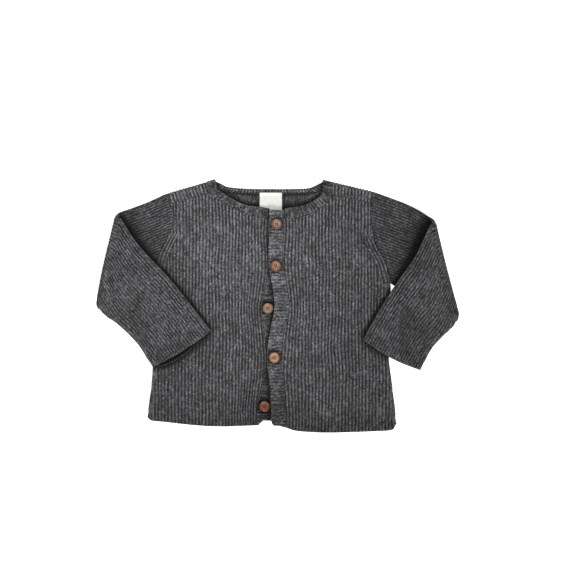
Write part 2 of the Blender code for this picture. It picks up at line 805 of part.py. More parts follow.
for old in list(bpy.data.objects):
    bpy.data.objects.remove(old)
GARMENT = new_collection("baby_cardigan")
CUTTERS = new_collection("cutters")

rib = material("rib_knit", CHARCOAL, 0.95)
band_rib = material("band_knit", CHARCOAL_BAND, 0.95)
button_brown = material("button", COPPER_BROWN, 0.45)
label_white = material("label", LABEL_WHITE, 0.8)

build_back(rib, GARMENT)
build_front(
    "front_right",
    RIGHT,
    lambda y: under_centre(y) - BAND_WIDTH / 2 - GAP,
    front_height,
    rib,
    GARMENT,
)
build_front(
    "front_left",
    LEFT,
    lambda y: over_centre(y) + BAND_WIDTH / 2 + GAP,
    over_height,
    rib,
    GARMENT,
)
build_band("button_band", RIGHT, under_centre, front_height, -125.4, band_rib, GARMENT)
build_band("buttonhole_band", LEFT, over_centre, over_height, -128.8, band_rib, GARMENT)
build_neckband(band_rib, GARMENT)
build_sleeve("sleeve_right", RIGHT, rib, GARMENT)
build_sleeve("sleeve_left", LEFT, rib, GARMENT)
for number, row in enumerate(BUTTONS, start=1):
    build_button(number, row, button_brown, GARMENT)
build_label(label_white, GARMENT)
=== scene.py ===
"""The looks of the baby cardigan: every piece in rib knit, its buttons, its label and the light.

The shapes repeat the design of the solids, in millimetres, on a fine grid whose ribs are real relief.
"""

import math
from collections import namedtuple
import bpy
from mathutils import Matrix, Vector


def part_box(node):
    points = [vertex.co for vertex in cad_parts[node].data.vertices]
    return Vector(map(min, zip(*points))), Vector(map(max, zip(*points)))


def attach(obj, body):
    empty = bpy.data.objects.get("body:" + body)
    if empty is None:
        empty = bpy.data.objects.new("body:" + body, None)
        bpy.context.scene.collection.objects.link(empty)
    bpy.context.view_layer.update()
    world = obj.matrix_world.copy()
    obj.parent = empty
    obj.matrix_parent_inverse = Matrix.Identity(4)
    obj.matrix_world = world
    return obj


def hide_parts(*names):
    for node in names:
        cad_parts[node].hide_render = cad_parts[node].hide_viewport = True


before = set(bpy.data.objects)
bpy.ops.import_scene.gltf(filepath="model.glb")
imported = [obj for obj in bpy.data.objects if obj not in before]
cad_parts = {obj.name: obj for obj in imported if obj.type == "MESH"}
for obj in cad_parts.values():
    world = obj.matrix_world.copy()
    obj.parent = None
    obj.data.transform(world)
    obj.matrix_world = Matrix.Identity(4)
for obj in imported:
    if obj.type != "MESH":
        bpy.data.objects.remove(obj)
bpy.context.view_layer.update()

from types import SimpleNamespace

import bmesh
import bpy
import numpy as np
from mathutils import Vector
from numpy.linalg import norm

MM = 0.001

# ---- the cloth
GAP = 0.3  # clearance between the layers
SEAM = 0.12  # how far each of two joined pieces reaches past the line of their seam
HALF_LAYER = 1.0  # half of what a lying layer takes up in height
FLOOR = HALF_LAYER  # middle of a layer that lies on the table
LAYER = 2 * HALF_LAYER + GAP  # from the middle of one lying layer to the middle of the next
ROLL = 1.6  # radius of the middle surface where the cloth turns over at an edge
SETTLE = 6.0  # how far in from a turned edge its layers come together
HALF = 0.72  # half the wall between the ribs' two faces
RIDGE = 0.42  # how far a rib's crest stands off the wall, and its valley sinks in
PITCH = 3.66  # from one rib to the next, on the body
ARM_PITCH = 2.95  # the same on the upper arm, the forearm and the bands
SLEEVE_PITCH = 3.15
BAND_PITCH = 3.4
FASHIONED = 9.8  # how far the ribs that follow an armhole reach from it, and their pitch
FASHIONED_PITCH = 3.3
STITCH = 1.8  # height of one stitch
LIP = 0.9  # how far in from a raw edge the cloth takes to reach its full thickness
RAW_EDGE = (0.0, 0.3, LIP)  # grid lines beside a raw edge
EDGE_FULLNESS = 0.32  # share of its thickness that the cloth keeps at a raw edge, and at a seam
SEAM_FULLNESS = 0.72

# How far apart a grid's lines are: across the ribs, then along them.
FRONT_GRID = (0.5, 2.4)
BACK_GRID = (0.66, 2.6)
SHOULDER_STEP = 0.62
BAND_GRID = (0.46, 0.62)
NECKBAND_GRID = (0.48, 0.9)
SLEEVE_GRID = (0.5, 2.2)
LABEL_STEP = 0.8
# The closer lines beside an armhole, as distances in, and how far the others keep from them.
FRONT_EDGE = (3.8, 3.3, 2.8, 2.3, 1.8, LIP, 0.3, 0.0)
BACK_EDGE = (0.0, 0.3, LIP, 1.6, 2.3, 3.0, 3.6, 4.2)
EDGE_ROOM = 0.4

BAND_WIDTH = 16.0
BAND_TOP = 105.8
NECKBAND_WIDTH = 11.0
HOLE_REACH = 5.2  # from the middle of a buttonhole to its ends
SLEEVE_WIDTH = 76.0
UPPER_ARM = 66.0  # round measure from the armhole to the elbow fold

# Heights up the front, with the middles of the under band and of the over band there.
PLACKET = (
    (-131.0, -13.6, 1.9), (-110.0, -13.8, 1.3), (-84.0, -8.6, -0.2), (-56.0, -2.8, -3.2),
    (-28.0, -6.2, 0.2), (-2.0, -9.8, 5.2), (20.0, -5.6, 3.4), (45.0, -1.4, -1.0),
    (90.0, -0.4, -0.2), (BAND_TOP, -0.2, 0.0),
)

# A row for each button from the neck down: its place, how it lies, and the colours of its horn.
Button = namedtuple("Button", "y band lean turn colour grain")
BUTTONS = (
    Button(90.5, "over", 3.0, 0.0, (0.096, 0.044, 0.023), (0.05, 0.016, 0.006)),
    Button(44.5, "over", 2.0, 20.0, (0.142, 0.05, 0.01), (0.075, 0.019, 0.004)),
    Button(-2.2, "under", 2.0, 0.0, (0.17, 0.092, 0.047), (0.08, 0.034, 0.014)),
    Button(-56.2, "over", 2.0, 45.0, (0.28, 0.147, 0.078), (0.124, 0.048, 0.019)),
    Button(-110.0, "under", 2.0, 15.0, (0.142, 0.042, 0.013), (0.058, 0.015, 0.005)),
)

# The soft swells of the fronts: middle, two reaches, how the first one lies, and height.
Swell = namedtuple("Swell", "x y along across angle height")
SWELLS = (
    Swell(-40.0, 52.0, 60.0, 26.0, 80.0, 0.9),
    Swell(-52.0, -96.0, 46.0, 22.0, 15.0, 0.9),
    Swell(48.0, 40.0, 56.0, 24.0, 95.0, 0.8),
    Swell(62.0, -92.0, 50.0, 24.0, -20.0, 1.1),
    Swell(38.0, -30.0, 50.0, 22.0, 70.0, 0.7),
)
NECK_LIFT = 1.9  # how far the fronts rise below the neck

# ---- outlines, in plan
BACK_NECK = (
    (-77.6, 136.2), (-70.0, 131.0), (-58.0, 127.2), (-34.0, 124.8), (-8.6, 124.6),
    (17.0, 124.8), (39.0, 126.0), (52.5, 130.2), (61.2, 136.2),
)
BACK_NECK_EDGE = (
    (-67.8, 138.6), (-62.0, 135.4), (-54.0, 131.6), (-34.0, 129.0), (-8.6, 128.6),
    (15.6, 128.6), (34.0, 129.9), (44.0, 134.0), (50.4, 138.6),
)
# One side of the garment: its outlines from the hem up and on down the arm, then how its cuff
# and its elbow lie.
RIGHT = SimpleNamespace(
    sign=-1,
    hem=((-21.6, -131.0), (-39.0, -131.7), (-62.0, -132.3), (-86.0, -131.3), (-126.0, -127.1),
         (-139.2, -125.4), (-142.0, -122.4)),
    side_seam=((-142.0, -122.4), (-138.2, -94.0), (-135.4, -60.0), (-136.0, 34.0)),
    armhole=((-136.0, 34.0), (-130.5, 56.5), (-119.0, 79.5), (-112.8, 96.0), (-115.6, 109.0),
             (-120.4, 123.8)),
    shoulder_fold=((-120.4, 123.8), BACK_NECK[0]),
    neck_seam=((-8.6, 97.2), (-19.1, 98.0), (-33.1, 101.3), (-47.0, 107.6), (-57.0, 112.6),
               (-66.0, 118.2), (-74.2, 124.8)),
    neck_edge=((-8.7, 107.6), (-19.1, 109.6), (-32.0, 111.2), (-42.0, 114.8), (-51.0, 119.8),
               (-59.0, 124.6), (-65.6, 129.4)),
    neck_fold=((-77.1, 136.4), (-67.6, 139.2)),
    top_edge=((-120.4, 123.8), (-146.0, 112.3), (-171.8, 103.2)),
    fold_edge=((-177.2, 98.8), (-189.2, 49.6), (-194.4, 25.0), (-198.3, 1.2)),
    inner_edge=((-172.0, 96.4), (-152.8, 67.6), (-117.2, 28.8), (-86.2, -9.9), (-72.8, -27.6)),
    under_hidden=((-136.0, 34.0), (-163.0, 22.0), (-193.8, 1.8)),
    under_edge=((-193.8, -3.4), (-186.4, -11.2), (-175.6, -18.5), (-152.8, -40.8),
                (-141.4, -57.6), (-135.6, -66.8)),
    cuff_bow=1.8,
    loft=(3.4, 1.8),
    cuff_gape=3.6,
    cuff_slip=5.0,
)
LEFT = SimpleNamespace(
    sign=1,
    hem=((10.4, -133.6), (20.0, -136.8), (37.5, -138.5), (57.0, -139.1), (80.0, -138.6),
         (107.7, -137.5), (127.2, -135.8), (131.0, -130.0)),
    side_seam=((131.0, -130.0), (127.0, -94.5), (123.0, -58.0), (124.6, 33.0)),
    armhole=((124.6, 33.0), (119.6, 49.5), (107.8, 71.5), (103.6, 94.0), (103.4, 108.0),
             (105.4, 125.6)),
    shoulder_fold=((105.4, 125.6), BACK_NECK[-1]),
    neck_seam=((9.0, 97.2), (20.2, 97.3), (32.9, 100.2), (41.4, 104.0), (48.4, 108.0),
               (56.5, 115.0), (60.6, 122.4)),
    neck_edge=((8.9, 107.6), (20.1, 109.6), (29.6, 111.6), (37.2, 114.6), (43.4, 118.4),
               (48.4, 122.8), (50.6, 128.2)),
    neck_fold=((60.7, 136.4), (50.4, 138.8)),
    top_edge=((105.4, 125.6), (136.2, 114.3), (153.0, 106.8), (168.2, 97.4)),
    fold_edge=((173.7, 92.4), (186.0, 42.0), (199.8, -8.4)),
    inner_edge=((168.6, 89.2), (151.0, 52.6), (134.8, 29.5), (113.4, -4.0), (95.2, -37.0)),
    under_hidden=((124.6, 33.0), (125.2, 25.6), (129.2, 22.0), (140.0, 17.0), (160.0, 9.0),
                  (194.2, -6.0)),
    under_edge=((196.4, -16.6), (192.4, -22.8), (180.2, -34.4), (170.2, -45.7), (162.2, -60.2),
                (157.2, -70.2)),
    cuff_bow=3.3,
    loft=(6.4, 1.8),
    cuff_gape=0.5,
    cuff_slip=0.0,
)

# The back of the neckband has rolled over: how far on, and how high, across it from its seam.
CURL = ((0.0, 0.0), (0.26, 0.3), (0.38, 2.0), (0.66, 3.5), (0.95, 2.2), (1.0, 0.6))

LABEL_X = (-19.0, 5.6)
LABEL_Y = (100.6, 125.2)
LABEL_RISE = 2.4  # how much its upper end climbs onto the neckband
LABEL_STITCHES = 9
WARP = 0.0005  # metres from one thread of the label's weave to the next, each way
WEFT = 0.0008


# ---- curves and patches
def unit(way):
    return way / norm(way)


def square_to(way):
    """The direction to the left of a way in plan."""
    return unit(np.array((-way[1], way[0])))


def distances(points):
    """How far along its own line each point of a row lies."""
    return np.concatenate([[0.0], np.cumsum(norm(np.diff(points, axis=0), axis=1))])


def path(points, marks=None):
    """A smooth curve through rows of numbers, called with an array of 0 to 1, or of marks."""
    pts = np.array(points, float)
    if marks is None:
        marks = distances(pts)
        marks = marks / marks[-1]
    marks = np.array(marks, float)
    last = len(pts) - 1
    low = np.maximum(np.arange(last + 1) - 1, 0)
    high = np.minimum(np.arange(last + 1) + 1, last)
    slopes = (pts[high] - pts[low]) / (marks[high] - marks[low])[:, None]

    def at(t):
        t = np.asarray(t, float)
        i = np.clip(np.searchsorted(marks, t, side="left") - 1, 0, last - 1)
        span = (marks[i + 1] - marks[i])[..., None]
        s = (t - marks[i])[..., None] / span
        start = pts[i] * (2 * s**3 - 3 * s**2 + 1) + slopes[i] * span * (s**3 - 2 * s**2 + s)
        end = pts[i + 1] * (3 * s**2 - 2 * s**3) + slopes[i + 1] * span * (s**3 - s**2)
        return start + end

    return at


def part_of(curve, low, high):
    return lambda t: curve(low + (high - low) * np.asarray(t, float))


def joined(first, second, at):
    """Two curves end to end, changing over at the value at."""

    def curve(t):
        t = np.asarray(t, float)
        before = first(np.minimum(t / at, 1.0))
        after = second(np.maximum((t - at) / (1 - at), 0.0))
        return np.where((t < at)[..., None], before, after)

    return curve


def fitted(curve, start, end):
    """A curve drawn over, more and more towards its ends, to run from start to end."""
    at_start = np.array(start) - curve(0.0)
    at_end = np.array(end) - curve(1.0)

    def moved(t):
        t = np.asarray(t, float)
        return curve(t) + at_start * (1 - t)[..., None] + at_end * t[..., None]

    return moved


def patch(bottom, top, left, right, u, v):
    """Plan points at the grid of values u and v, between four boundary curves."""
    left = fitted(left, bottom(0.0), top(0.0))
    right = fitted(right, bottom(1.0), top(1.0))
    a, b = u[..., None], v[..., None]
    across = left(v) * (1 - a) + right(v) * a
    along = bottom(u) * (1 - b) + top(u) * b
    low = bottom(0.0) * (1 - a) + bottom(1.0) * a
    high = top(0.0) * (1 - a) + top(1.0) * a
    return across + along - low * (1 - b) - high * b


def ease(t):
    t = np.clip(t, 0.0, 1.0)
    return t * t * (3 - 2 * t)


def bell(distance, width):
    """1 at no distance, falling away smoothly to nothing past about twice the width."""
    return np.exp(-((distance / width) ** 2))


def spaced(length, step, first=(), last=()):
    """Distances along a length, about step apart, with extra ones given from either end."""
    lead, tail = sorted(first), sorted(last)
    low = lead[-1] if lead else 0.0
    high = length - (tail[-1] if tail else 0.0)
    count = max(int(round((high - low) / step)), 1)
    inner = np.linspace(low, high, count + 1)
    ends = [length - d for d in reversed(tail[:-1])]
    return np.concatenate([lead[:-1], inner, ends])


def raw_spaced(length, step):
    """The same with a raw edge at either end."""
    return spaced(length, step, RAW_EDGE, RAW_EDGE)


def lip(distance):
    """How full the cloth is at a distance from a raw edge, which is rounded over."""
    inside = np.clip(distance / LIP, 0.0, 1.0)
    return np.maximum(np.sqrt(1 - (1 - inside) ** 2), EDGE_FULLNESS)


def seam_lip(distance):
    """The same beside a seam, where the cloth keeps most of its thickness."""
    return SEAM_FULLNESS + 0.28 * lip(distance)


def strip_fullness(columns, rows, first=lip):
    """The same all over a strip whose four edges are raw, or whose first one is a seam."""
    across = first(columns) * lip(columns[-1] - columns)
    return across * lip(rows)[:, None] * lip(rows[-1] - rows)[:, None]


def patchy(x, y):
    """Smooth noise from -1 to 1 with a new value at each whole x and y, the same on every run."""
    x, y = np.broadcast_arrays(np.asarray(x, float), np.asarray(y, float))
    left, low = np.floor(x), np.floor(y)
    a, b = ease(x - left), ease(y - low)

    def corner(i, j):
        value = np.sin((left + i) * 127.1 + (low + j) * 311.7) * 43758.5453
        return 2 * (value - np.floor(value)) - 1

    bottom = corner(0, 0) * (1 - a) + corner(1, 0) * a
    top = corner(0, 1) * (1 - a) + corner(1, 1) * a
    return bottom * (1 - b) + top * b


# ---- heights of the lying layers
def band_centre(column):
    """The way that the middle of a band runs up the front."""
    table = np.array(PLACKET)
    curve = path(table[:, column:column + 1], table[:, 0])
    return lambda y: curve(np.clip(y, table[0, 0], table[-1, 0]))[..., 0]


under_centre, over_centre = band_centre(1), band_centre(2)


def turned(distance):
    """How much the upper layer is lifted, at a distance in from where the cloth turns over."""
    return (2 * ROLL - LAYER) * bell(distance - ROLL, SETTLE)


def swelling(x, y):
    total = 0.0
    for s in SWELLS:
        turn = math.radians(s.angle)
        along = (x - s.x) * math.cos(turn) + (y - s.y) * math.sin(turn)
        across = (y - s.y) * math.cos(turn) - (x - s.x) * math.sin(turn)
        total = total + s.height * bell(along, s.along) * bell(across, s.across)
    return total


def shoulder_rise(x, y):
    rise = 0.0
    for side in (RIGHT, LEFT):
        a, b = (np.array(p) for p in side.shoulder_fold)
        along = unit(b - a)
        rise = rise + turned(np.abs((x - a[0]) * along[1] - (y - a[1]) * along[0]))
    return rise


def unevenness(x, y):
    """The small hollows of soft cloth that has been laid down by hand."""
    first = np.sin(x / 11.0 + 1.7 * np.sin(y / 23.0)) * np.sin(y / 17.0 + x / 60.0)
    second = np.sin(x / 6.3 + y / 9.1 + 2.0 * np.sin(y / 31.0)) * np.sin(y / 14.0 - x / 21.0)
    return 0.16 * first + 0.07 * second


def front_height(x, y):
    across = (x + 8.0) / 52.0
    neck = NECK_LIFT * ease((y - 52.0) / 44.0) * np.exp(-(across**4))
    return FLOOR + LAYER + neck + swelling(x, y) + shoulder_rise(x, y)


def over_height(x, y):
    past = x - (under_centre(y) + BAND_WIDTH / 2 + 1.5)
    return front_height(x, y) + LAYER * (1 - ease(past / 15.0))


# ---- solids from grids
def normals_of(grid, ring, flip):
    """Unit normals of a grid of middle points, pointing out of its right side."""
    if ring:
        across = np.roll(grid, -1, axis=1) - np.roll(grid, 1, axis=1)
    else:
        across = np.gradient(grid, axis=1)
    normal = np.cross(across, np.gradient(grid, axis=0))
    normal /= np.maximum(norm(normal, axis=2, keepdims=True), 1e-9)
    return -normal if flip else normal


def walls(outer, inner, cells, ring):
    """Faces that close a wall between its two sides along every edge of its cells."""
    faces = []
    columns = outer.shape[1]
    for sign in (1, -1):
        j, i = np.nonzero(np.diff(np.pad(cells, ((1, 1), (0, 0))).astype(int), axis=0) == sign)
        a, b = (i, (i + 1) % columns)[::-sign]
        faces.append(np.stack([outer[j, a], outer[j, b], inner[j, b], inner[j, a]], axis=1))
        if not ring:
            j, i = np.nonzero(np.diff(np.pad(cells, ((0, 0), (1, 1))).astype(int), axis=1) == sign)
            a, b = (j, j + 1)[::sign]
            faces.append(np.stack([outer[a, i], outer[b, i], inner[b, i], inner[a, i]], axis=1))
    return np.concatenate(faces)


def placed(name, data):
    """A new object in the scene."""
    made = bpy.data.objects.new(name, data)
    bpy.context.scene.collection.objects.link(made)
    return made


def mesh_of(name, shape):
    """A mesh from a shape under construction, which is then done with."""
    mesh = bpy.data.meshes.new(name)
    shape.to_mesh(mesh)
    shape.free()
    return mesh


def cloth(name, grid, relief, fullness, texture, flip=False, ring=False, cells=None, half=HALF):
    """A wall of knitted cloth, in millimetres, on a grid of middle points.

    relief is how far the right side stands out at each point, which the wrong side follows.
    fullness thins the wall towards raw edges. texture gives each point's place in the knitting.
    """
    rows, columns = grid.shape[:2]
    if cells is None:
        cells = np.ones((rows - 1, columns if ring else columns - 1), bool)
    normal = normals_of(grid, ring, flip)
    out = grid + normal * ((half + relief) * fullness)[..., None]
    back = grid - normal * ((half - relief) * fullness)[..., None]
    index = np.arange(rows * columns).reshape(rows, columns)
    outer, inner = index, index + rows * columns
    j, i = np.nonzero(cells)
    k = (i + 1) % columns
    quads = np.stack([outer[j, i], outer[j, k], outer[j + 1, k], outer[j + 1, i]], axis=1)
    under = np.stack([inner[j, i], inner[j + 1, i], inner[j + 1, k], inner[j, k]], axis=1)
    faces = np.concatenate([quads, under, walls(outer, inner, cells, ring)])
    if flip:
        faces = faces[:, ::-1]
    used, faces = np.unique(faces, return_inverse=True)
    faces = faces.reshape(-1, 4)
    points = np.concatenate([out.reshape(-1, 3), back.reshape(-1, 3)])[used] * MM
    places = np.concatenate([texture.reshape(-1, 2)] * 2)[used]

    mesh = bpy.data.meshes.new(name)
    mesh.from_pydata(points, [], faces)
    mesh.uv_layers.new(name="knit").data.foreach_set("uv", places[faces.ravel()].ravel())
    mesh.validate()
    mesh.shade_smooth()
    return placed(name, mesh)


def rib(phase, along):
    """Relief of one-by-one rib: broad crests at whole numbers, and narrow valleys between.

    along is the way up the ribs in millimetres, on which hand-pulled ribs rise and sink.
    """
    angle = 2 * np.pi * phase
    uneven = 1 + 0.45 * patchy(np.round(phase) * 3.0, along / 6.0)
    return RIDGE * uneven * (np.cos(angle) - 0.22 * np.cos(2 * angle))


def run_length(grid, axis):
    """Distance along a grid's rows or columns from its first one."""
    steps = norm(np.diff(grid, axis=axis), axis=2)
    start = np.zeros((1, grid.shape[1]) if axis == 0 else (grid.shape[0], 1))
    return np.concatenate([start, np.cumsum(steps, axis=axis)], axis=axis)


def strip_texture(phase, columns):
    """Each point's place in the knitting of a strip whose ribs run across it."""
    return np.dstack([phase, np.tile(columns / STITCH, (len(phase), 1))])


def stand_for(piece, node, finish):
    """Give a piece its material, and declare what it rides on and replaces."""
    piece.data.materials.clear()
    piece.data.materials.append(finish)
    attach(piece, "root")
    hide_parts(node)


# ---- materials
class Nodes:
    """Short names for a material's nodes and their links."""

    def __init__(self, name):
        self.material = bpy.data.materials.new(name)
        self.material.use_nodes = True
        self.tree = self.material.node_tree
        self.shader = self.tree.nodes["Principled BSDF"]

    def set(self, **values):
        for key, value in values.items():
            self.shader.inputs[key.replace("_", " ")].default_value = value

    def add(self, kind, inputs=(), **settings):
        made = self.tree.nodes.new("ShaderNode" + kind)
        for key, value in settings.items():
            setattr(made, key, value)
        for key, value in dict(inputs).items():
            if isinstance(value, bpy.types.NodeSocket):
                self.tree.links.new(value, made.inputs[key])
            else:
                made.inputs[key].default_value = value
        return made

    def math(self, operation, a, b=0.0, c=0.0):
        return self.add("Math", {0: a, 1: b, 2: c}, operation=operation).outputs[0]

    def times(self, a, b, plus=0.0):
        return self.math("MULTIPLY_ADD", a, b, plus)

    def coords(self):
        return self.add("TexCoord").outputs["Object"]

    def vector(self, x, y, z):
        return self.add("CombineXYZ", {"X": x, "Y": y, "Z": z}).outputs[0]

    def split(self, vector):
        return self.add("SeparateXYZ", {"Vector": vector}).outputs

    def noise(self, scale, detail, roughness, at, distortion=0.0):
        inputs = {"Scale": scale, "Detail": detail, "Roughness": roughness, "Vector": at}
        inputs["Distortion"] = distortion
        return self.add("TexNoise", inputs).outputs["Fac"]

    def spread(self, value, low, high, to_low=0.0, to_high=1.0):
        """A value's place between low and high, held within them."""
        inputs = {"Value": value, "From Min": low, "From Max": high}
        inputs["To Min"], inputs["To Max"] = to_low, to_high
        return self.add("MapRange", inputs, clamp=True).outputs["Result"]

    def shelter(self, distance, samples):
        """How open the surface lies to what is round it."""
        inputs = {"Distance": distance}
        return self.add("AmbientOcclusion", inputs, samples=samples).outputs["AO"]

    def ramp(self, value, stops):
        made = self.add("ValToRGB", {"Fac": value})
        elements = made.color_ramp.elements
        while len(elements) < len(stops):
            elements.new(0.5)
        for element, (place, colour) in zip(elements, stops):
            element.position = place
            element.color = (*colour, 1.0)
        return made.outputs["Color"]

    def mix(self, factor, a, b, blend_type="MIX"):
        inputs = {0: factor, 6: a, 7: b}
        made = self.add("Mix", inputs, data_type="RGBA", blend_type=blend_type)
        return made.outputs[2]

    def bump(self, height, distance, strength, over=None):
        inputs = {"Height": height, "Distance": distance, "Strength": strength}
        if over:
            inputs["Normal"] = over
        return self.add("Bump", inputs).outputs["Normal"]

    def link(self, value, socket):
        self.tree.links.new(value, self.shader.inputs[socket])


def knit_material(name, tone_and_light, valley, seed, occlusion_shade, falloff_shade=None):
    """Charcoal marl yarn, knitted in one-by-one rib.

    The texture's first number counts ribs, with a crest at each whole number, and its second is
    the way along them in stitches. The yarn's colour is scaled by a tone for each piece, which makes
    the pieces lighter and darker copies of one yarn, painted for how the light falls on them. valley
    is how dark the painted shade lies between two ribs. The last two arguments paint shade too: the
    first gives how far and how deeply ambient occlusion darkens the colour beside a higher layer,
    and the second darkens one end for the light's falloff: which of the two numbers it goes by, how
    dark, and the values between which that ends.
    """
    n = Nodes(name)
    n.set(Roughness=0.92, Specular_IOR_Level=0.12, Sheen_Weight=0.08, Sheen_Roughness=0.6)
    place = n.split(n.add("UVMap", uv_map="knit").outputs["UV"])
    ribs, stitches = place["X"], place["Y"]

    crest = n.spread(n.math("COSINE", n.times(ribs, 2 * math.pi)), -0.8, 0.8)
    from_crest = n.math("ABSOLUTE", n.math("SUBTRACT", ribs, n.math("ROUND", ribs)))
    leg = n.times(from_crest, 1.5, stitches)
    loop = n.math("ABSOLUTE", n.math("SUBTRACT", n.math("FRACT", leg), 0.5))
    loop = n.spread(loop, 0.02, 0.4)

    offset = (seed, seed * 0.7, 0.0)
    moved = n.add("VectorMath", {0: n.coords(), 1: offset}).outputs[0]
    flecks = n.spread(n.noise(560.0, 2.5, 0.62, moved), 0.36, 0.66)
    fine = n.spread(n.noise(1100.0, 2.0, 0.6, moved), 0.36, 0.66)
    cloud = n.spread(n.noise(55.0, 3.0, 0.6, moved), 0.3, 0.72)
    at_stitch = n.vector(n.times(ribs, 1.3), n.times(stitches, 0.6), seed)
    per_stitch = n.spread(n.noise(1.1, 1.0, 0.5, at_stitch), 0.3, 0.7)
    cell = n.vector(n.math("ROUND", n.times(ribs, 2.0)), n.math("FLOOR", leg), seed)
    ply = n.add("TexWhiteNoise", {"Vector": cell}).outputs["Value"]

    mixed = n.times(flecks, 0.25)
    for layer, share in ((fine, 0.27), (cloud, 0.12), (per_stitch, 0.12), (ply, 0.24)):
        mixed = n.times(layer, share, mixed)
    stops = []
    for at, level in ((0.16, 0.016), (0.38, 0.059), (0.58, 0.137), (0.85, 0.3)):
        stops.append((at, tuple(level * tone_and_light * tint for tint in (1.0, 1.002, 1.032))))
    colour = n.ramp(mixed, stops)

    # Painted shade: the colour is darkened in the valleys between the ribs and between the legs of
    # the stitches, on top of the real relief.
    at_stitch = n.vector(n.times(ribs, 0.9), n.times(stitches, 0.42), seed + 3.0)
    fade = n.noise(1.0, 2.0, 0.6, at_stitch)
    fade = n.spread(fade, 0.36, 0.64, valley - 0.16, valley + 0.52)
    shade = n.times(crest, n.math("SUBTRACT", 1.0, fade), fade)
    shade = n.times(shade, n.times(loop, 0.22, 0.8))
    # Painted shade for the light's falloff: darker towards one end of the piece.
    if falloff_shade:
        along, level, low, high = falloff_shade
        shade = n.times(shade, n.spread(place[along], low, high, level, 1.0))
    # Painted shade: ambient occlusion multiplied into the colour, wide beside higher layers and close
    # in the ribs' valleys.
    shade = n.times(shade, n.math("POWER", n.shelter(occlusion_shade[0], 8), occlusion_shade[1]))
    shade = n.times(shade, n.math("POWER", n.shelter(0.006, 6), 1.8))
    n.link(n.mix(1.0, colour, n.vector(shade, shade, shade), "MULTIPLY"), "Base Color")

    bump = n.bump(n.noise(1900.0, 3.0, 0.7, moved), 0.00025, 0.8)
    n.link(n.bump(n.times(loop, crest), 0.0004, 0.9, bump), "Normal")
    return n.material


def button_material(name, colour, grain, seed):
    """A turned button of streaky copper-brown horn, with painted shade darkening its rim."""
    n = Nodes(name)
    n.set(Roughness=0.42, Coat_Weight=0.06, Coat_Roughness=0.3)
    coords = n.coords()
    inputs = {"Vector": coords, "Location": (seed, 0.0, 0.0), "Scale": (1.0, 0.28, 1.0)}
    inputs["Rotation"] = (0.0, 0.0, seed * 40.0)
    stretched = n.add("Mapping", inputs).outputs[0]
    streaks = n.spread(n.noise(700.0, 4.0, 0.62, stretched, 0.6), 0.4, 0.66)
    blotch = n.spread(n.noise(190.0, 2.0, 0.5, coords), 0.35, 0.65)
    both = n.times(blotch, 0.45, n.times(streaks, 0.55))
    bright = tuple(c * 1.3 for c in colour)
    face = n.ramp(both, ((0.15, bright), (0.5, colour), (0.95, grain)))
    place = n.split(coords)
    radius = n.times(place["Y"], place["Y"], n.times(place["X"], place["X"]))
    # Painted shade: the rim is darkened as if it lay in the shadow along the button's side.
    rim = n.spread(n.math("SQRT", radius), 0.005, 0.0057)
    painted_rim_shade = tuple(c * 0.45 for c in grain)
    n.link(n.mix(rim, face, (*painted_rim_shade, 1.0)), "Base Color")
    n.link(n.bump(streaks, 0.00006, 0.5), "Normal")
    n.link(n.spread(blotch, 0.0, 1.0, 0.36, 0.52), "Roughness")
    return n.material


def label_material(name):
    """Plain white satin-weave tape."""
    n = Nodes(name)
    n.set(Roughness=0.7, Sheen_Weight=0.1)
    coords = n.coords()
    place = n.split(coords)
    warp = n.math("SINE", n.times(place["X"], 2 * math.pi / WARP))
    weft = n.math("SINE", n.times(place["Y"], 2 * math.pi / WEFT))
    cloud = n.spread(n.noise(260.0, 2.0, 0.5, coords), 0.3, 0.7)
    colour = n.ramp(cloud, ((0.0, (0.47, 0.466, 0.444)), (1.0, (0.54, 0.536, 0.512))))
    n.link(colour, "Base Color")
    n.link(n.bump(n.times(warp, weft), 0.00005, 0.6), "Normal")
    return n.material


def thread_material(name, colour):
    """Twisted sewing thread."""
    n = Nodes(name)
    n.set(Roughness=0.75)
    strands = n.spread(n.noise(3500.0, 2.0, 0.6, n.coords()), 0.3, 0.7)
    dull = tuple(c * 0.6 for c in colour)
    n.link(n.ramp(strands, ((0.0, dull), (1.0, colour))), "Base Color")
    n.link(n.bump(strands, 0.0001, 0.7), "Normal")
    return n.material


# ---- the body
ARMPIT = 0.62  # where a panel's outer edge passes from the side seam to the armhole
SEAM_SHARE = 0.885  # where the shoulder seam meets the armhole
NECK_VALUE = 0.58  # where a front's top edge passes from the neck to the shoulder seam
FRONT_SIZE = (126.0, 250.0)  # round measures, by which the grids are spaced
BACK_SIZE = (262.0, 254.0)
SHOULDERS = (0.2, 0.8)  # where the back's neck begins and ends across its top
# How far in the last grid lines lie and how high they turn, where the cloth turns over an edge.
ARCS = np.radians((0.0, 18.0, 36.0, 54.0, 72.0, 90.0))
EDGE_LIFTS = np.concatenate([0.66 * (1 - np.cos(ARCS)), [0.83, 1.0]])
EDGE_REACH = np.concatenate([ROLL * (1 - np.sin(ARCS)), [0.0, 0.0]])


def turned_share(v):
    """1 along the side seam, whose edges are turned, and 0 along the armhole."""
    return 1.0 - ease((v - ARMPIT + 0.05) / 0.05)


def armhole_line(side):
    """The armhole from the armpit up, with the seam's reach."""
    curve = path(side.armhole)
    return lambda t: curve(t) + np.array((side.sign * SEAM, 0.0))


def front_inner(side, inner_x):
    """A front's inner edge from the hem to the neck."""
    low, high = side.hem[0][1], side.neck_seam[0][1]

    def curve(v):
        y = low + (high - low) * np.asarray(v, float)
        return np.stack([inner_x(y), y], axis=-1)

    return curve


def body_phase(x, y, edge_x, sign):
    """Ribs up the body. Beside the front band they follow it, and further out they run straight."""
    edge = edge_x(y)
    away = (x - edge) * sign
    bend = 0.45 * (edge - edge_x(BAND_TOP)) * bell(away, 17.0)
    waver = 0.14 * patchy(x / 7.3, y / 9.0) + 0.4 * patchy(x / 58.0, y / 41.0)
    return sign * (x - bend) / PITCH + waver


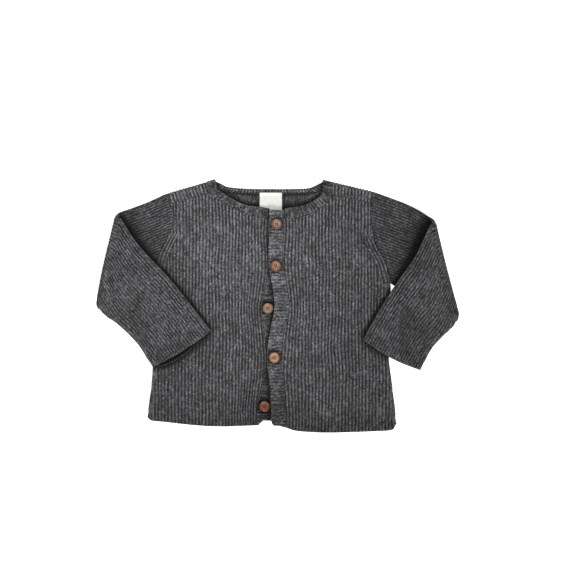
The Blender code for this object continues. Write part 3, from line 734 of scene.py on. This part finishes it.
def front(node, side, inner_x, height, finish):
    """A front from its band to the side, where it turns down to meet the back."""
    inner = front_inner(side, inner_x)
    armhole = part_of(armhole_line(side), 0.0, SEAM_SHARE)
    side_seam = fitted(path(side.side_seam), side.side_seam[0], armhole(0.0))
    outer = joined(side_seam, armhole, ARMPIT)
    hem = path(side.hem)
    hem = fitted(hem, inner(0.0), hem(1.0))
    neck = fitted(path(side.neck_seam), inner(1.0), side.neck_seam[-1])
    top = joined(neck, path((side.neck_seam[-1], armhole(1.0))), NECK_VALUE)

    width, length = FRONT_SIZE
    columns = spaced(width, FRONT_GRID[0], RAW_EDGE)
    columns = columns[columns < width - (FRONT_EDGE[0] + EDGE_ROOM)] / width
    rows = raw_spaced(length, FRONT_GRID[1]) / length
    share = turned_share(rows)[:, None]
    tight = 1.0 - EDGE_REACH / width
    loose = 1.0 - np.array(FRONT_EDGE) / width
    edge = tight * share + loose * (1 - share)
    u = np.hstack([np.tile(columns, (len(rows), 1)), edge])
    v = np.tile(rows[:, None], (1, u.shape[1]))
    plan = patch(hem, top, inner, outer, u, v)
    x, y = plan[..., 0], plan[..., 1]
    from_edge = norm(plan - plan[:, -1:], axis=2)
    level = height(x, y)
    z = level + turned(from_edge) * share + unevenness(x, y)
    last = len(EDGE_LIFTS)
    crown = level[:, -last:] + turned(ROLL) + unevenness(x, y)[:, -last:]
    lowered = crown + (FLOOR + ROLL - SEAM - crown) * EDGE_LIFTS
    z[:, -last:] += (lowered - z[:, -last:]) * share
    grid = np.dstack([x, y, z])

    phase = body_phase(x, y, inner_x, side.sign)
    relief = rib(phase, y)
    climb = (v - ARMPIT) / (1 - ARMPIT)
    close = from_edge * 0.86
    zone = ease((climb + 0.02) / 0.06) * (1 - ease((climb - 0.5) / 0.12))
    beside = zone * (1 - ease((close - FASHIONED) / 0.8))
    fashioned = close / FASHIONED_PITCH + 0.45
    relief = relief * (1 - beside) + 1.15 * rib(fashioned, y) * beside
    relief -= 0.3 * zone * bell(close - FASHIONED - 0.6, 0.7)
    phase = np.where(beside > 0.5, np.round(phase) + fashioned - np.round(fashioned), phase)

    across = run_length(grid, 1)
    fullness = seam_lip(across) * lip(v * length) * seam_lip((1 - v) * length)
    fullness = fullness * (share + (1 - share) * lip(from_edge))
    fullness[:, -2:] *= 1 - 0.35 * share
    texture = np.dstack([phase, run_length(grid, 0) / STITCH])
    piece = cloth(node, grid, relief, fullness, texture, flip=side.sign < 0)
    stand_for(piece, node, finish)


def shoulder_flaps(fold, way, reach):
    """Rows of points from the back's top row over the fold and down to the fronts.

    way leads in plan from each point of the fold to the shoulder seam. reach is how far to go.
    """
    travels = [np.full(len(fold), ROLL * (1 - math.cos(a))) for a in ARCS[1:]]
    travels += [np.full(len(fold), far) for far in (3.0, 5.2, 7.6)]
    travels += [reach - short for short in (1.8, *RAW_EDGE[::-1])]
    rows = []
    for far in travels:
        x, y = (fold[:, :2] + way * (far / norm(way, axis=1))[:, None]).T
        inside = np.clip(far / ROLL, 0.0, 1.0)
        turning = FLOOR + ROLL + ROLL * np.sqrt(1 - (1 - inside) ** 2)
        lying = front_height(x, y) + unevenness(x, y)
        blend = ease((far - ROLL * 0.7) / 1.2)
        rows.append(np.column_stack([x, y, turning * (1 - blend) + lying * blend]))
    return np.array(rows)


def back(finish):
    """The back, with its shoulders turned over the fold to meet the fronts."""
    first, last = SHOULDERS
    left = joined(path(RIGHT.side_seam), armhole_line(RIGHT), ARMPIT)
    right = joined(path(LEFT.side_seam), armhole_line(LEFT), ARMPIT)
    neck = path(BACK_NECK)
    right_fold = path((armhole_line(RIGHT)(1.0), RIGHT.shoulder_fold[1]))
    left_fold = path((armhole_line(LEFT)(1.0), LEFT.shoulder_fold[1]))

    def top(u):
        u = np.asarray(u, float)
        middle = neck(np.clip((u - first) / (last - first), 0.0, 1.0))
        low = right_fold(np.clip(u / first, 0.0, 1.0))
        high = left_fold(np.clip((1 - u) / (1 - last), 0.0, 1.0))
        inward = np.where((u >= last)[..., None], high, middle)
        return np.where((u <= first)[..., None], low, inward)

    width, length = BACK_SIZE
    lead = spaced(first * width, SHOULDER_STEP)
    lead = lead[lead > BACK_EDGE[-1] + EDGE_ROOM] / width
    core = spaced((last - first) * width, BACK_GRID[0])[1:-1] / width + first
    inner = np.concatenate([lead, core, 1 - lead[::-1]])
    rows = spaced(length, BACK_GRID[1], RAW_EDGE)
    rows = rows[rows < length - ROLL - 0.8] / length
    rows = np.concatenate([rows, 1.0 - ROLL * (1 - np.sin(ARCS)) / length])
    share = turned_share(rows + 0.025)[:, None]
    tight = EDGE_REACH[::-1] / width
    loose = np.array(BACK_EDGE) / width
    edge = tight * share + loose * (1 - share)
    u = np.hstack([edge, np.tile(inner, (len(rows), 1)), 1 - edge[:, ::-1]])
    v = np.tile(rows[:, None], (1, u.shape[1]))
    hem = path((RIGHT.side_seam[0], LEFT.side_seam[0]))
    plan = patch(hem, top, left, right, u, v)
    z = np.full(u.shape, FLOOR)
    lifts = (ROLL + SEAM) * EDGE_LIFTS[::-1]
    count = len(lifts)
    z[:, :count] += lifts * share
    z[:, -count:] += lifts[::-1] * share
    columns = u[-1]
    shoulder = (columns <= first + 1e-6) | (columns >= last - 1e-6)
    z[-len(ARCS):, shoulder] = FLOOR + ROLL * (1 - np.cos(ARCS))[:, None]
    grid = np.dstack([plan, z])

    fold = grid[-1]
    edge_row = len(rows) - len(ARCS)
    on_right = columns < 0.5
    at = np.where(on_right, columns / first, (1 - columns) / (1 - last)).clip(0.0, 1.0)[:, None]
    ends = []
    for side in (RIGHT, LEFT):
        ends.append(armhole_line(side)(SEAM_SHARE) * (1 - at) + np.array(side.neck_seam[-1]) * at)
    way = np.where(on_right[:, None], ends[0], ends[1]) - fold[:, :2]
    reach = norm(way, axis=1) + SEAM
    flaps = shoulder_flaps(fold, way, reach)
    grid = np.concatenate([grid, flaps])
    past = np.arange(len(grid)) > edge_row
    beyond = 0.6 * np.arange(1, len(grid) - edge_row)[:, None, None]
    grid[past] = np.where(shoulder[:, None], grid[past], grid[edge_row] + beyond * (0.0, 1.0, 0.0))

    cells = np.ones((len(grid) - 1, grid.shape[1] - 1), bool)
    flap = (columns[1:] <= first + 1e-6) | (columns[:-1] >= last - 1e-6)
    cells[edge_row:, ~flap] = False

    x, plan = grid[..., 0], grid[..., :2]
    phase = np.where(past[:, None], x[edge_row], x) / PITCH
    from_side = np.minimum(norm(plan - plan[:, :1], axis=2), norm(plan - plan[:, -1:], axis=2))
    full_share = np.concatenate([share[:, 0], np.zeros(len(flaps))])[:, None]
    fullness = full_share + (1 - full_share) * lip(from_side)
    fullness = fullness * lip(run_length(grid, 0))
    left_over = reach - norm(plan - fold[:, :2], axis=2)
    on_flap = np.arange(len(grid))[:, None] >= len(rows)
    fullness = np.where(on_flap, fullness * lip(left_over), fullness)
    texture = np.dstack([phase, run_length(grid, 0) / STITCH])
    relief = rib(phase, grid[..., 1])
    piece = cloth("back", grid, relief, fullness, texture, flip=True, cells=cells)
    stand_for(piece, "back", finish)


# ---- the bands
def buttonhole(across, off):
    """Relief of a worked buttonhole: a slit between two raised lips, as shares and millimetres."""
    slit, lips = bell(off, 0.55), 0.3 * bell(np.abs(off) - 1.25, 0.55)
    return (1 - ease((across - 0.82) / 0.3)) * (lips - slit)


def band(node, side, centre, height, finish, rise, corner=0.0, gape=0.0, holes=()):
    """A front band.

    At the hem its free edge ends higher by rise, and its very corner by corner. gape is how far
    the free edge stands up between two buttons that are done up.
    """
    low, high = side.hem[0][1], BAND_TOP
    rows = raw_spaced(high - low, BAND_GRID[0])
    columns = raw_spaced(BAND_WIDTH, BAND_GRID[1])
    toward = columns / BAND_WIDTH
    start = low + rise * ease(toward / 0.55) + corner * toward**14
    y = start + (high - start) * (rows[:, None] / rows[-1])
    x = centre(y) + side.sign * (0.5 - toward) * BAND_WIDTH
    clear = np.min([np.abs(y - button.y) for button in BUTTONS if button.band == "over"], axis=0)
    lifted = gape * ease((toward - 0.25) / 0.75) * ease((clear - 4.0) / 16.0)
    grid = np.dstack([x, y, height(x, y) + unevenness(x, y) + lifted])
    phase = (y + 0.7 * patchy(x / 6.0, y / 9.0)) / BAND_PITCH
    relief = rib(phase, x)
    for button in holes:
        across = np.abs(x - centre(button.y)) / HOLE_REACH
        relief += buttonhole(across, y - button.y)
    texture = strip_texture(phase, columns)
    fullness = strip_fullness(columns, rows, seam_lip)
    piece = cloth(node, grid, relief, fullness, texture, flip=side.sign < 0)
    stand_for(piece, node, finish)


def collar_row(seam, edge, height, curl=0.0):
    """Points across the neckband from its seam, lying flat or rolled over by a share of CURL."""
    seam = seam - unit(edge - seam) * SEAM
    on, up = np.array(CURL).T
    even = np.linspace(0.0, 1.0, len(CURL))
    plan = seam + (edge - seam) * (even + (on - even) * curl)[:, None]
    return np.column_stack([plan, height(*plan.T) + up * curl])


def fold_rows(line, inward):
    """The same where the neckband turns over at a shoulder, round the fold."""
    a, b = (np.array(p) for p in line)
    across = np.linspace(a - unit(b - a) * 0.6, b, len(CURL))
    rows = []
    for turn in np.radians(np.linspace(0.0, 180.0, 7)):
        plan = across + np.array(inward) * ROLL * (1 - math.sin(turn))
        height = FLOOR + ROLL + ROLL * math.cos(turn)
        rows.append(np.column_stack([plan, np.full(len(CURL), height)]))
    return rows


def front_collar(side, height):
    """The same up one front, from the band to the shoulder."""
    seam, edge = path(side.neck_seam), path(side.neck_edge)
    rows = [collar_row(seam(t), edge(t), height) for t in np.linspace(-0.008, 1.0, 11)]
    corner, edge_corner = np.array(side.shoulder_fold[1]), np.array(side.neck_fold[1])
    low = seam(1.0) + (corner - seam(1.0)) * 0.45
    free = edge(1.0) + (edge_corner - edge(1.0)) * 0.45
    return [*rows, collar_row(low, free, height)]


def neckband(finish):
    """The neckband, from the front edge on the wearer's right round to the one on the left."""
    seam, edge = path(BACK_NECK), path(BACK_NECK_EDGE)
    rows = front_collar(RIGHT, front_height)
    rows += fold_rows(RIGHT.neck_fold, (0.27, -0.96))
    for t in np.linspace(0.06, 0.94, 17):
        curl = float(ease((0.5 - abs(t - 0.5)) / 0.24 - 0.25))
        low = seam(t) + np.array((0.0, -ROLL))
        rows.append(collar_row(low, edge(t), lambda x, y: FLOOR, curl))
    rows += reversed(fold_rows(LEFT.neck_fold, (-0.23, -0.97)))
    rows += reversed(front_collar(LEFT, over_height))
    rows = np.array(rows)
    marks = distances(rows[:, 2:4].mean(axis=1))
    along = raw_spaced(marks[-1], NECKBAND_GRID[0])
    coarse = path(rows.reshape(len(rows), -1), marks)(along).reshape(len(along), len(CURL), 3)
    flat = coarse.transpose(1, 0, 2).reshape(len(CURL), -1)
    columns = raw_spaced(NECKBAND_WIDTH, NECKBAND_GRID[1])
    marks = np.linspace(0.0, NECKBAND_WIDTH, len(CURL))
    grid = path(flat, marks)(columns).reshape(len(columns), len(along), 3).transpose(1, 0, 2)
    grid[..., 2] += unevenness(grid[..., 0], grid[..., 1]) * ease(grid[..., 2] - 2.6)
    centre = run_length(grid, 0)[:, len(columns) // 2]
    phase = np.tile((centre / BAND_PITCH)[:, None], (1, len(columns)))
    fullness = strip_fullness(columns, along)
    texture = strip_texture(phase, columns)
    piece = cloth("neckband", grid, rib(phase, columns), fullness, texture, flip=True)
    stand_for(piece, "neckband", finish)
    flat = (NECKBAND_WIDTH * MM, along[-1] * MM)


# ---- the sleeves
def outside_by(x, y, outline):
    """Distance in plan from points to a closed outline, negative inside it."""
    points = np.array(outline, float)
    nearest = np.full(x.shape, 1e9)
    inside = np.zeros(x.shape, bool)
    for a, b in zip(points, np.roll(points, -1, axis=0)):
        d = b - a
        share = np.clip(((x - a[0]) * d[0] + (y - a[1]) * d[1]) / (d @ d), 0.0, 1.0)
        nearest = np.minimum(nearest, np.hypot(a[0] + d[0] * share - x, a[1] + d[1] * share - y))
        if a[1] != b[1]:
            crossing = a[0] + (y - a[1]) / (b[1] - a[1]) * (b[0] - a[0])
            inside ^= ((a[1] > y) != (b[1] > y)) & (x < crossing)
    return np.where(inside, -nearest, nearest)


def support(side):
    """How high the top of what lies under a forearm is, easing down to the table beside it."""
    body = [*RIGHT.side_seam[::-1], *LEFT.side_seam, *LEFT.armhole[1:], *RIGHT.armhole[:0:-1]]
    arm = [*side.top_edge, *side.fold_edge, *side.under_hidden[::-1], *side.armhole[1:-1]]

    def at(x, y):
        distance = np.minimum(outside_by(x, y, body), outside_by(x, y, arm))
        top = front_height(x, y) + HALF_LAYER + 2 * ROLL - LAYER
        return top * (1 - ease((distance - 5.0) / 20.0))

    return at


def steepness(height, x, y):
    """How much further apart two layers lie upright than square to a slope."""
    slope_x = (height(x + 1.0, y) - height(x - 1.0, y)) / 2
    slope_y = (height(x, y + 1.0) - height(x, y - 1.0)) / 2
    return np.sqrt(1.0 + slope_x**2 + slope_y**2)


def ring_layout(width):
    """Round a flattened tube: place from top edge to under edge, height, and which layer."""
    across = spaced(width - 2 * ROLL, SLEEVE_GRID[0]) + ROLL
    turn = np.radians(np.linspace(-90.0, 90.0, 9))[1:-1]
    near, rise = ROLL * (1 - np.cos(turn)), ROLL * (1 + np.sin(turn))
    place = np.concatenate([across, width - near, across[::-1], near[::-1]]) / width
    low, high = np.zeros(len(across)), np.full(len(across), 2 * ROLL)
    height = np.concatenate([low, rise, high, rise[::-1]])
    run = np.concatenate([low + 1, rise * 0, low + 2, rise * 0]).astype(int)
    return place, height, run


def sleeve_ribs(side, grid, place, run, first, last):
    """Rib phase, relief and way along the ribs, with the elbow fold from row first to last."""

    def beside(edge, pitch):
        """Ribs counted out from an edge that they run along."""
        normal = square_to(np.array(edge[-1]) - np.array(edge[0]))
        start = grid[:, np.argmin(place), :2][:, None]
        return np.abs((grid[..., :2] - start) @ normal) / pitch

    total = run_length(grid, 0)
    above = beside(side.top_edge, ARM_PITCH)
    beyond = beside(side.inner_edge, SLEEVE_PITCH)
    above[first:] = above[first]
    beyond[:last] = beyond[last]
    turn = np.clip((np.arange(len(grid)) - first) / (last - first), 0.0, 1.0)[:, None]
    phase = above + (beyond - above) * turn + 0.12 * patchy(place * 14.0, total / 6.0)
    bolder = 1.0 + 0.8 * bell(beyond, 2.8) * turn
    relief = 0.62 * rib(phase, total) * np.where(run == 0, 0.7, bolder)
    return phase, relief, total


def sleeve(node, side, finish):
    """A flattened tube from the armhole to the elbow fold, over it, and down to the cuff."""
    width = SLEEVE_WIDTH
    place, h, run = ring_layout(width)
    armhole = path(side.armhole)
    fold_start = path((side.top_edge[-1], side.under_hidden[-1]))
    fold_end = path((side.inner_edge[0], side.under_edge[0]))
    resting = support(side)
    shift = np.array((-side.sign * SEAM, 0.0))

    def shoulder_line(u):
        return armhole(1 - 0.982 * np.asarray(u, float)) + shift

    a, b = np.array(side.inner_edge[-1]), np.array(side.under_edge[-1])
    out = square_to(a - b) * side.sign

    def cuff_line(u):
        u = np.asarray(u, float)[..., None]
        return a + (b - a) * u + out * side.cuff_bow * np.sin(np.pi * u)

    sag = 2 * ROLL - LAYER - turned(np.minimum(place, 1 - place) * width)
    loft = side.loft[0] * (1 - place) + side.loft[1] * place

    def base_height(point, travelled):
        x, y = point[..., 0], point[..., 1]
        slack = (2 * loft - 2 * HALF_LAYER - GAP) * bell(travelled, 46.0)
        under = resting(x, y)
        settled = under + (GAP + HALF_LAYER) * steepness(resting, x, y)
        return settled + slack * ease(under / (FLOOR + 2 * ROLL + HALF_LAYER))

    rows = spaced(UPPER_ARM, SLEEVE_GRID[1], RAW_EDGE)[:-1] / UPPER_ARM
    u, v = np.meshgrid(place, rows)
    plan = patch(shoulder_line, fold_start, path(side.top_edge), path(side.under_hidden), u, v)
    z = FLOOR + h - sag * (run == 2) + unevenness(plan[..., 0], plan[..., 1]) * (run == 2)
    upper = np.dstack([plan, z])

    start, end = fold_start(place), fold_end(place)
    fold_edge = path(side.fold_edge)
    outward = square_to(fold_edge(1.0) - fold_edge(0.0)) * side.sign
    axis = (FLOOR + 2 * ROLL + base_height(end, 0.0)) / 2
    bulge = fold_edge(place) - (start + end) / 2 - outward * (axis - FLOOR)[:, None]
    fold = []
    for turn in np.radians(np.linspace(0.0, 180.0, 17)):
        folded = h - (run == 2) * sag * max(math.cos(turn), 0.0)
        folded = folded + (run == 1) * sag * max(-math.cos(turn), 0.0)
        reach = axis - FLOOR - folded
        spot = start + (end - start) * (1 - math.cos(turn)) / 2
        spot = spot + (bulge + outward * reach[:, None]) * math.sin(turn)
        fold.append(np.column_stack([spot, axis - reach * math.cos(turn)]))

    length = norm(a - np.array(side.inner_edge[0]))
    rows = spaced(length, SLEEVE_GRID[1], (), RAW_EDGE)[1:] / length
    u, v = np.meshgrid(place, rows)
    plan = patch(fold_end, cuff_line, path(side.inner_edge), path(side.under_edge), u, v)
    apart = (2 * ROLL - h - sag * (run == 1)) * steepness(resting, plan[..., 0], plan[..., 1])
    z = base_height(plan, v * length) + apart
    z += unevenness(plan[..., 0], plan[..., 1]) * (run == 1) * ease(v * length / 12.0)
    mouth = bell((1 - v) * length, 7.0)
    z += side.cuff_gape * mouth * np.sin(np.pi * u) ** 0.6 * (run == 1)
    slip = side.cuff_slip * mouth * np.sin(np.pi * u**1.7) ** 0.7 * (run == 2)
    z += 0.42 * slip * bell((1 - v) * length, 1.6)
    plan = plan + out * slip[..., None]
    lower = np.dstack([plan, z])
    grid = np.concatenate([upper, np.array(fold), lower])

    elbow = len(upper)
    phase, relief, total = sleeve_ribs(side, grid, place, run, elbow, elbow + len(fold) - 1)
    fullness = lip(total) * lip(total[-1] - total)
    texture = np.dstack([phase, total / STITCH])
    piece = cloth(node, grid, relief, fullness, texture, flip=side.sign > 0, ring=True)
    stand_for(piece, node, finish)


# ---- buttons and label
def tube(points, radius, sides=8):
    """Rings of points along a short thread, and its faces, closed at both ends."""
    pts = np.array(points, float)
    verts, faces = [], []
    for i, p in enumerate(pts):
        ahead = pts[min(i + 1, len(pts) - 1)] - pts[max(i - 1, 0)]
        ahead /= norm(ahead)
        side = np.cross(ahead, (0.0, 0.0, 1.0) if abs(ahead[2]) < 0.9 else (1.0, 0.0, 0.0))
        side /= norm(side)
        up = np.cross(side, ahead)
        for k in range(sides):
            turn = 2 * math.pi * k / sides
            verts.append(p + radius * (math.cos(turn) * side + math.sin(turn) * up))
        if i:
            for k in range(sides):
                m = (k + 1) % sides
                low, high = (i - 1) * sides, i * sides
                faces.append((low + k, high + k, high + m, low + m))
    faces.append(tuple(range(sides)))
    faces.append(tuple((len(pts) - 1) * sides + k for k in reversed(range(sides))))
    return verts, faces


def threads(name, runs, radius, finish):
    """One piece of several short threads."""
    verts, faces = [], []
    for run in runs:
        more, sides = tube(run, radius)
        faces += [tuple(i + len(verts) for i in face) for face in sides]
        verts += more
    mesh = bpy.data.meshes.new(name)
    mesh.from_pydata([Vector(v) * MM for v in verts], [], faces)
    mesh.shade_smooth()
    mesh.materials.append(finish)
    return placed(name, mesh)


# From the middle of the underside round the rim to the middle of the face: radius and height.
BUTTON_PROFILE = (
    (0.0, -1.3), (4.9, -1.3), (5.7, -1.05), (6.1, -0.5), (6.2, 0.2), (6.08, 0.8), (5.75, 1.18),
    (5.3, 1.3), (4.95, 1.2), (4.7, 0.95), (4.45, 0.66), (4.0, 0.5), (3.0, 0.42), (0.0, 0.4),
)
TURNS = 64  # flat sides of a turned button
HOLE_RADII = (0.6, 0.86)  # of a sewing hole, at the back and at the face
HOLE_OFFSET = 1.55  # from the middle of a button to the middle of a hole
SEWING_OFFSET = 1.1  # from the middle of a button to the middle of a thread, and its radius
SEWING_RADIUS = 0.55
# A thread's way over a button, from hole to hole: along, how far it strays, and its height.
SEWING = ((-1.25, 0.0, -0.6), (-1.1, -0.5, 0.35), (-0.5, 0.4, 0.66), (0.0, -0.4, 0.72),
          (0.5, 0.4, 0.66), (1.1, 0.0, 0.35), (1.25, 0.0, -0.6))


def button_mesh():
    """A turned button: raised rim, dished face and four countersunk holes."""
    lathe = bmesh.new()
    rings = []
    for radius, height in BUTTON_PROFILE:
        turns = [2 * math.pi * k / TURNS for k in range(TURNS if radius else 1)]
        points = [(radius * math.cos(t), radius * math.sin(t), height) for t in turns]
        rings.append([lathe.verts.new(Vector(p) * MM) for p in points])
    for low, high in zip(rings, rings[1:]):
        for k in range(TURNS):
            m = (k + 1) % TURNS
            corners = (low[k % len(low)], low[m % len(low)], high[m % len(high)], high[k % len(high)])
            lathe.faces.new(dict.fromkeys(corners))
    blank = placed("button_blank", mesh_of("button_shape", lathe))
    drills = []
    for k in range(4):
        turn = math.radians(45 + 90 * k)
        bit = bmesh.new()
        low, high = (radius * MM for radius in HOLE_RADII)
        sizes = {"radius1": low, "radius2": high, "depth": 4 * MM}
        bmesh.ops.create_cone(bit, cap_ends=True, segments=20, **sizes)
        drill = placed("drill", mesh_of("drill", bit))
        drill.location = Vector((math.cos(turn), math.sin(turn), 0.0)) * HOLE_OFFSET * MM
        cut = blank.modifiers.new("Hole", "BOOLEAN")
        cut.operation = "DIFFERENCE"
        cut.object = drill
        drills.append(drill)
    depsgraph = bpy.context.evaluated_depsgraph_get()
    made = bpy.data.meshes.new_from_object(blank.evaluated_get(depsgraph))
    for gone in (*drills, blank):
        bpy.data.objects.remove(gone)
    made.shade_smooth()
    made.set_sharp_from_angle(angle=math.radians(38))
    return made


def buttons(thread):
    """The five buttons, each with its own horn, lean and turn, and its sewing."""
    shape = button_mesh()
    for number, row in enumerate(BUTTONS, start=1):
        node = f"button_{number}"
        low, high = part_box(node)
        piece = placed(f"{node}_turned", shape.copy())
        piece.location = (Vector(low) + Vector(high)) / 2
        piece.rotation_euler = (math.radians(row.lean), 0.0, math.radians(row.turn))
        stand_for(piece, node, button_material(node, row.colour, row.grain, number * 0.37))
        runs = []
        for x in (-SEWING_OFFSET, SEWING_OFFSET):
            runs.append([(x + 0.2 * stray, y, z) for y, stray, z in SEWING])
        sewing = threads(f"{node}_thread", runs, SEWING_RADIUS, thread)
        sewing.parent = piece


def label(finish, thread):
    """A tab of woven tape with its sides folded under, and the row of stitches that holds it."""
    width, length = LABEL_X[1] - LABEL_X[0], LABEL_Y[1] - LABEL_Y[0]
    columns, rows = (raw_spaced(size, LABEL_STEP) for size in (width, length))
    x, y = np.meshgrid(LABEL_X[0] + columns, LABEL_Y[0] + rows)
    z = FLOOR + HALF_LAYER + GAP + 0.7
    z = z + 0.35 * np.sin(np.pi * rows[:, None] / length) + 0.06 * np.sin(x / 2.7 + y / 4.0)
    z += LABEL_RISE * ease((y - 121.6) / 3.4)
    relief = np.zeros(x.shape)
    for inward in (width - columns, columns):
        relief -= 0.12 * bell(inward - 1.6, 0.3)
    texture = np.dstack(np.meshgrid(columns, rows))
    fullness = strip_fullness(columns, rows)
    piece = cloth("label_tab", np.dstack([x, y, z]), relief, fullness, texture, half=0.36)
    stand_for(piece, "label", finish)
    across, down, up = LABEL_Y[1] - 1.5, z.min() + 0.2, 3.35
    runs = []
    for left in LABEL_X[0] + 1.3 + 2.6 * np.arange(LABEL_STITCHES):
        way = ((0.0, down), (0.5, up), (1.3, up), (1.8, down))
        runs.append([(left + on, across, height) for on, height in way])
    sewing = threads("label_stitches", runs, 0.17, thread)
    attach(sewing, "root")


# ---- the whole cardigan
# Copies of one yarn, painted lighter and darker piece by piece for how the light falls on them.
# Painted shade darkens them by occlusion, between the ribs, and where the light falls off: at the
# hem, the upper arms and the lower ends of the bands.
body_knit = knit_material(
    "knit_body", tone_and_light=1.17, valley=0.34, seed=0.0, occlusion_shade=(0.028, 3.4), falloff_shade=("Y", 0.72, 0.0, 18.0)
)
sleeve_knit = knit_material(
    "knit_sleeve", tone_and_light=0.91, valley=0.4, seed=0.31, occlusion_shade=(0.042, 5.0), falloff_shade=("Y", 0.8, 29.0, 42.0)
)
under_knit = knit_material(
    "knit_under_band", tone_and_light=2.1, valley=0.32, seed=0.57, occlusion_shade=(0.028, 4.6),
    falloff_shade=("X", 0.64, -27.0, -12.0),
)
over_knit = knit_material(
    "knit_over_band", tone_and_light=1.4, valley=0.34, seed=0.57, occlusion_shade=(0.02, 0.9),
    falloff_shade=("X", 0.7, -27.0, -14.0),
)
neckband_knit = knit_material(
    "knit_neckband", tone_and_light=1.66, valley=0.24, seed=0.57, occlusion_shade=(0.034, 7.0)
)
dark_thread = thread_material("thread_dark", (0.13, 0.028, 0.004))
white_thread = thread_material("thread_white", (0.75, 0.74, 0.71))

back(body_knit)
front(
    "front_right", RIGHT, lambda y: under_centre(y) - BAND_WIDTH / 2 + SEAM, front_height, body_knit,
)
front(
    "front_left", LEFT, lambda y: over_centre(y) + BAND_WIDTH / 2 - SEAM, over_height, body_knit,
)
band("button_band", RIGHT, under_centre, front_height, under_knit, rise=5.9)
band(
    "buttonhole_band", LEFT, over_centre, over_height, over_knit,
    rise=2.2, corner=4.6, gape=2.0, holes=BUTTONS,
)
neckband(neckband_knit)
sleeve("sleeve_right", RIGHT, sleeve_knit)
sleeve("sleeve_left", LEFT, sleeve_knit)
buttons(dark_thread)
label(label_material("label_weave"), white_thread)


# ---- floor, camera and light, in metres
FLOOR_REACH = 4.0
FLOOR_DROP = 0.0006  # how far the floor lies under the cloth
CHEST = (-0.055, 0.08)  # what the near lamp hangs over
VIEW_CENTRE = (0.0089, 0.0235)
VIEW_WIDTH = 0.627
VIEW_HEIGHT = 2.2
SENSOR = 36.0


def lamp(name, kind, power, place, target):
    """A lamp aimed at a target, which the camera doesn't see."""
    data = bpy.data.lights.new(name, kind)
    data.energy = power
    made = placed(name, data)
    made.location = place
    aim = Vector(target) - Vector(place)
    made.rotation_euler = aim.to_track_quat("-Z", "Y").to_euler()
    made.visible_camera = False
    return data


ground = bmesh.new()
bmesh.ops.create_grid(ground, x_segments=4, y_segments=4, size=FLOOR_REACH)
floor = placed("floor", mesh_of("floor", ground))
floor.location = (0.0, 0.0, -FLOOR_DROP)
paper = Nodes("floor_paper")
paper.set(Roughness=0.9, Emission_Strength=0.95, Emission_Color=(1.0, 1.0, 1.0, 1.0))
cloudy = paper.noise(8.0, 2.0, 0.5, paper.coords())
white = paper.ramp(cloudy, ((0.0, (0.9, 0.9, 0.9)), (1.0, (0.93, 0.93, 0.93))))
paper.link(white, "Base Color")
floor.data.materials.append(paper.material)

near = lamp("over", "AREA", power=1.05, place=(*CHEST, 0.3), target=(*CHEST, 0.0))
near.shape = "DISK"
near.size = 0.2
far = lamp("low", "SUN", power=3.25, place=(0.2, -1.2, 0.95), target=(0.0, 0.0, 0.0))
far.angle = math.radians(12.0)

world = bpy.data.worlds.new("studio")
world.use_nodes = True
sky = world.node_tree.nodes["Background"].inputs
sky["Color"].default_value = (1.0, 1.0, 1.0, 1.0)
sky["Strength"].default_value = 0.08
bpy.context.scene.world = world
bpy.context.scene.view_settings.view_transform = "Standard"

lens = bpy.data.cameras.new("camera")
lens.sensor_width = SENSOR
lens.lens = SENSOR * (VIEW_HEIGHT - 0.005) / VIEW_WIDTH
camera = placed("camera", lens)
camera.location = (*VIEW_CENTRE, VIEW_HEIGHT)
bpy.context.scene.camera = camera
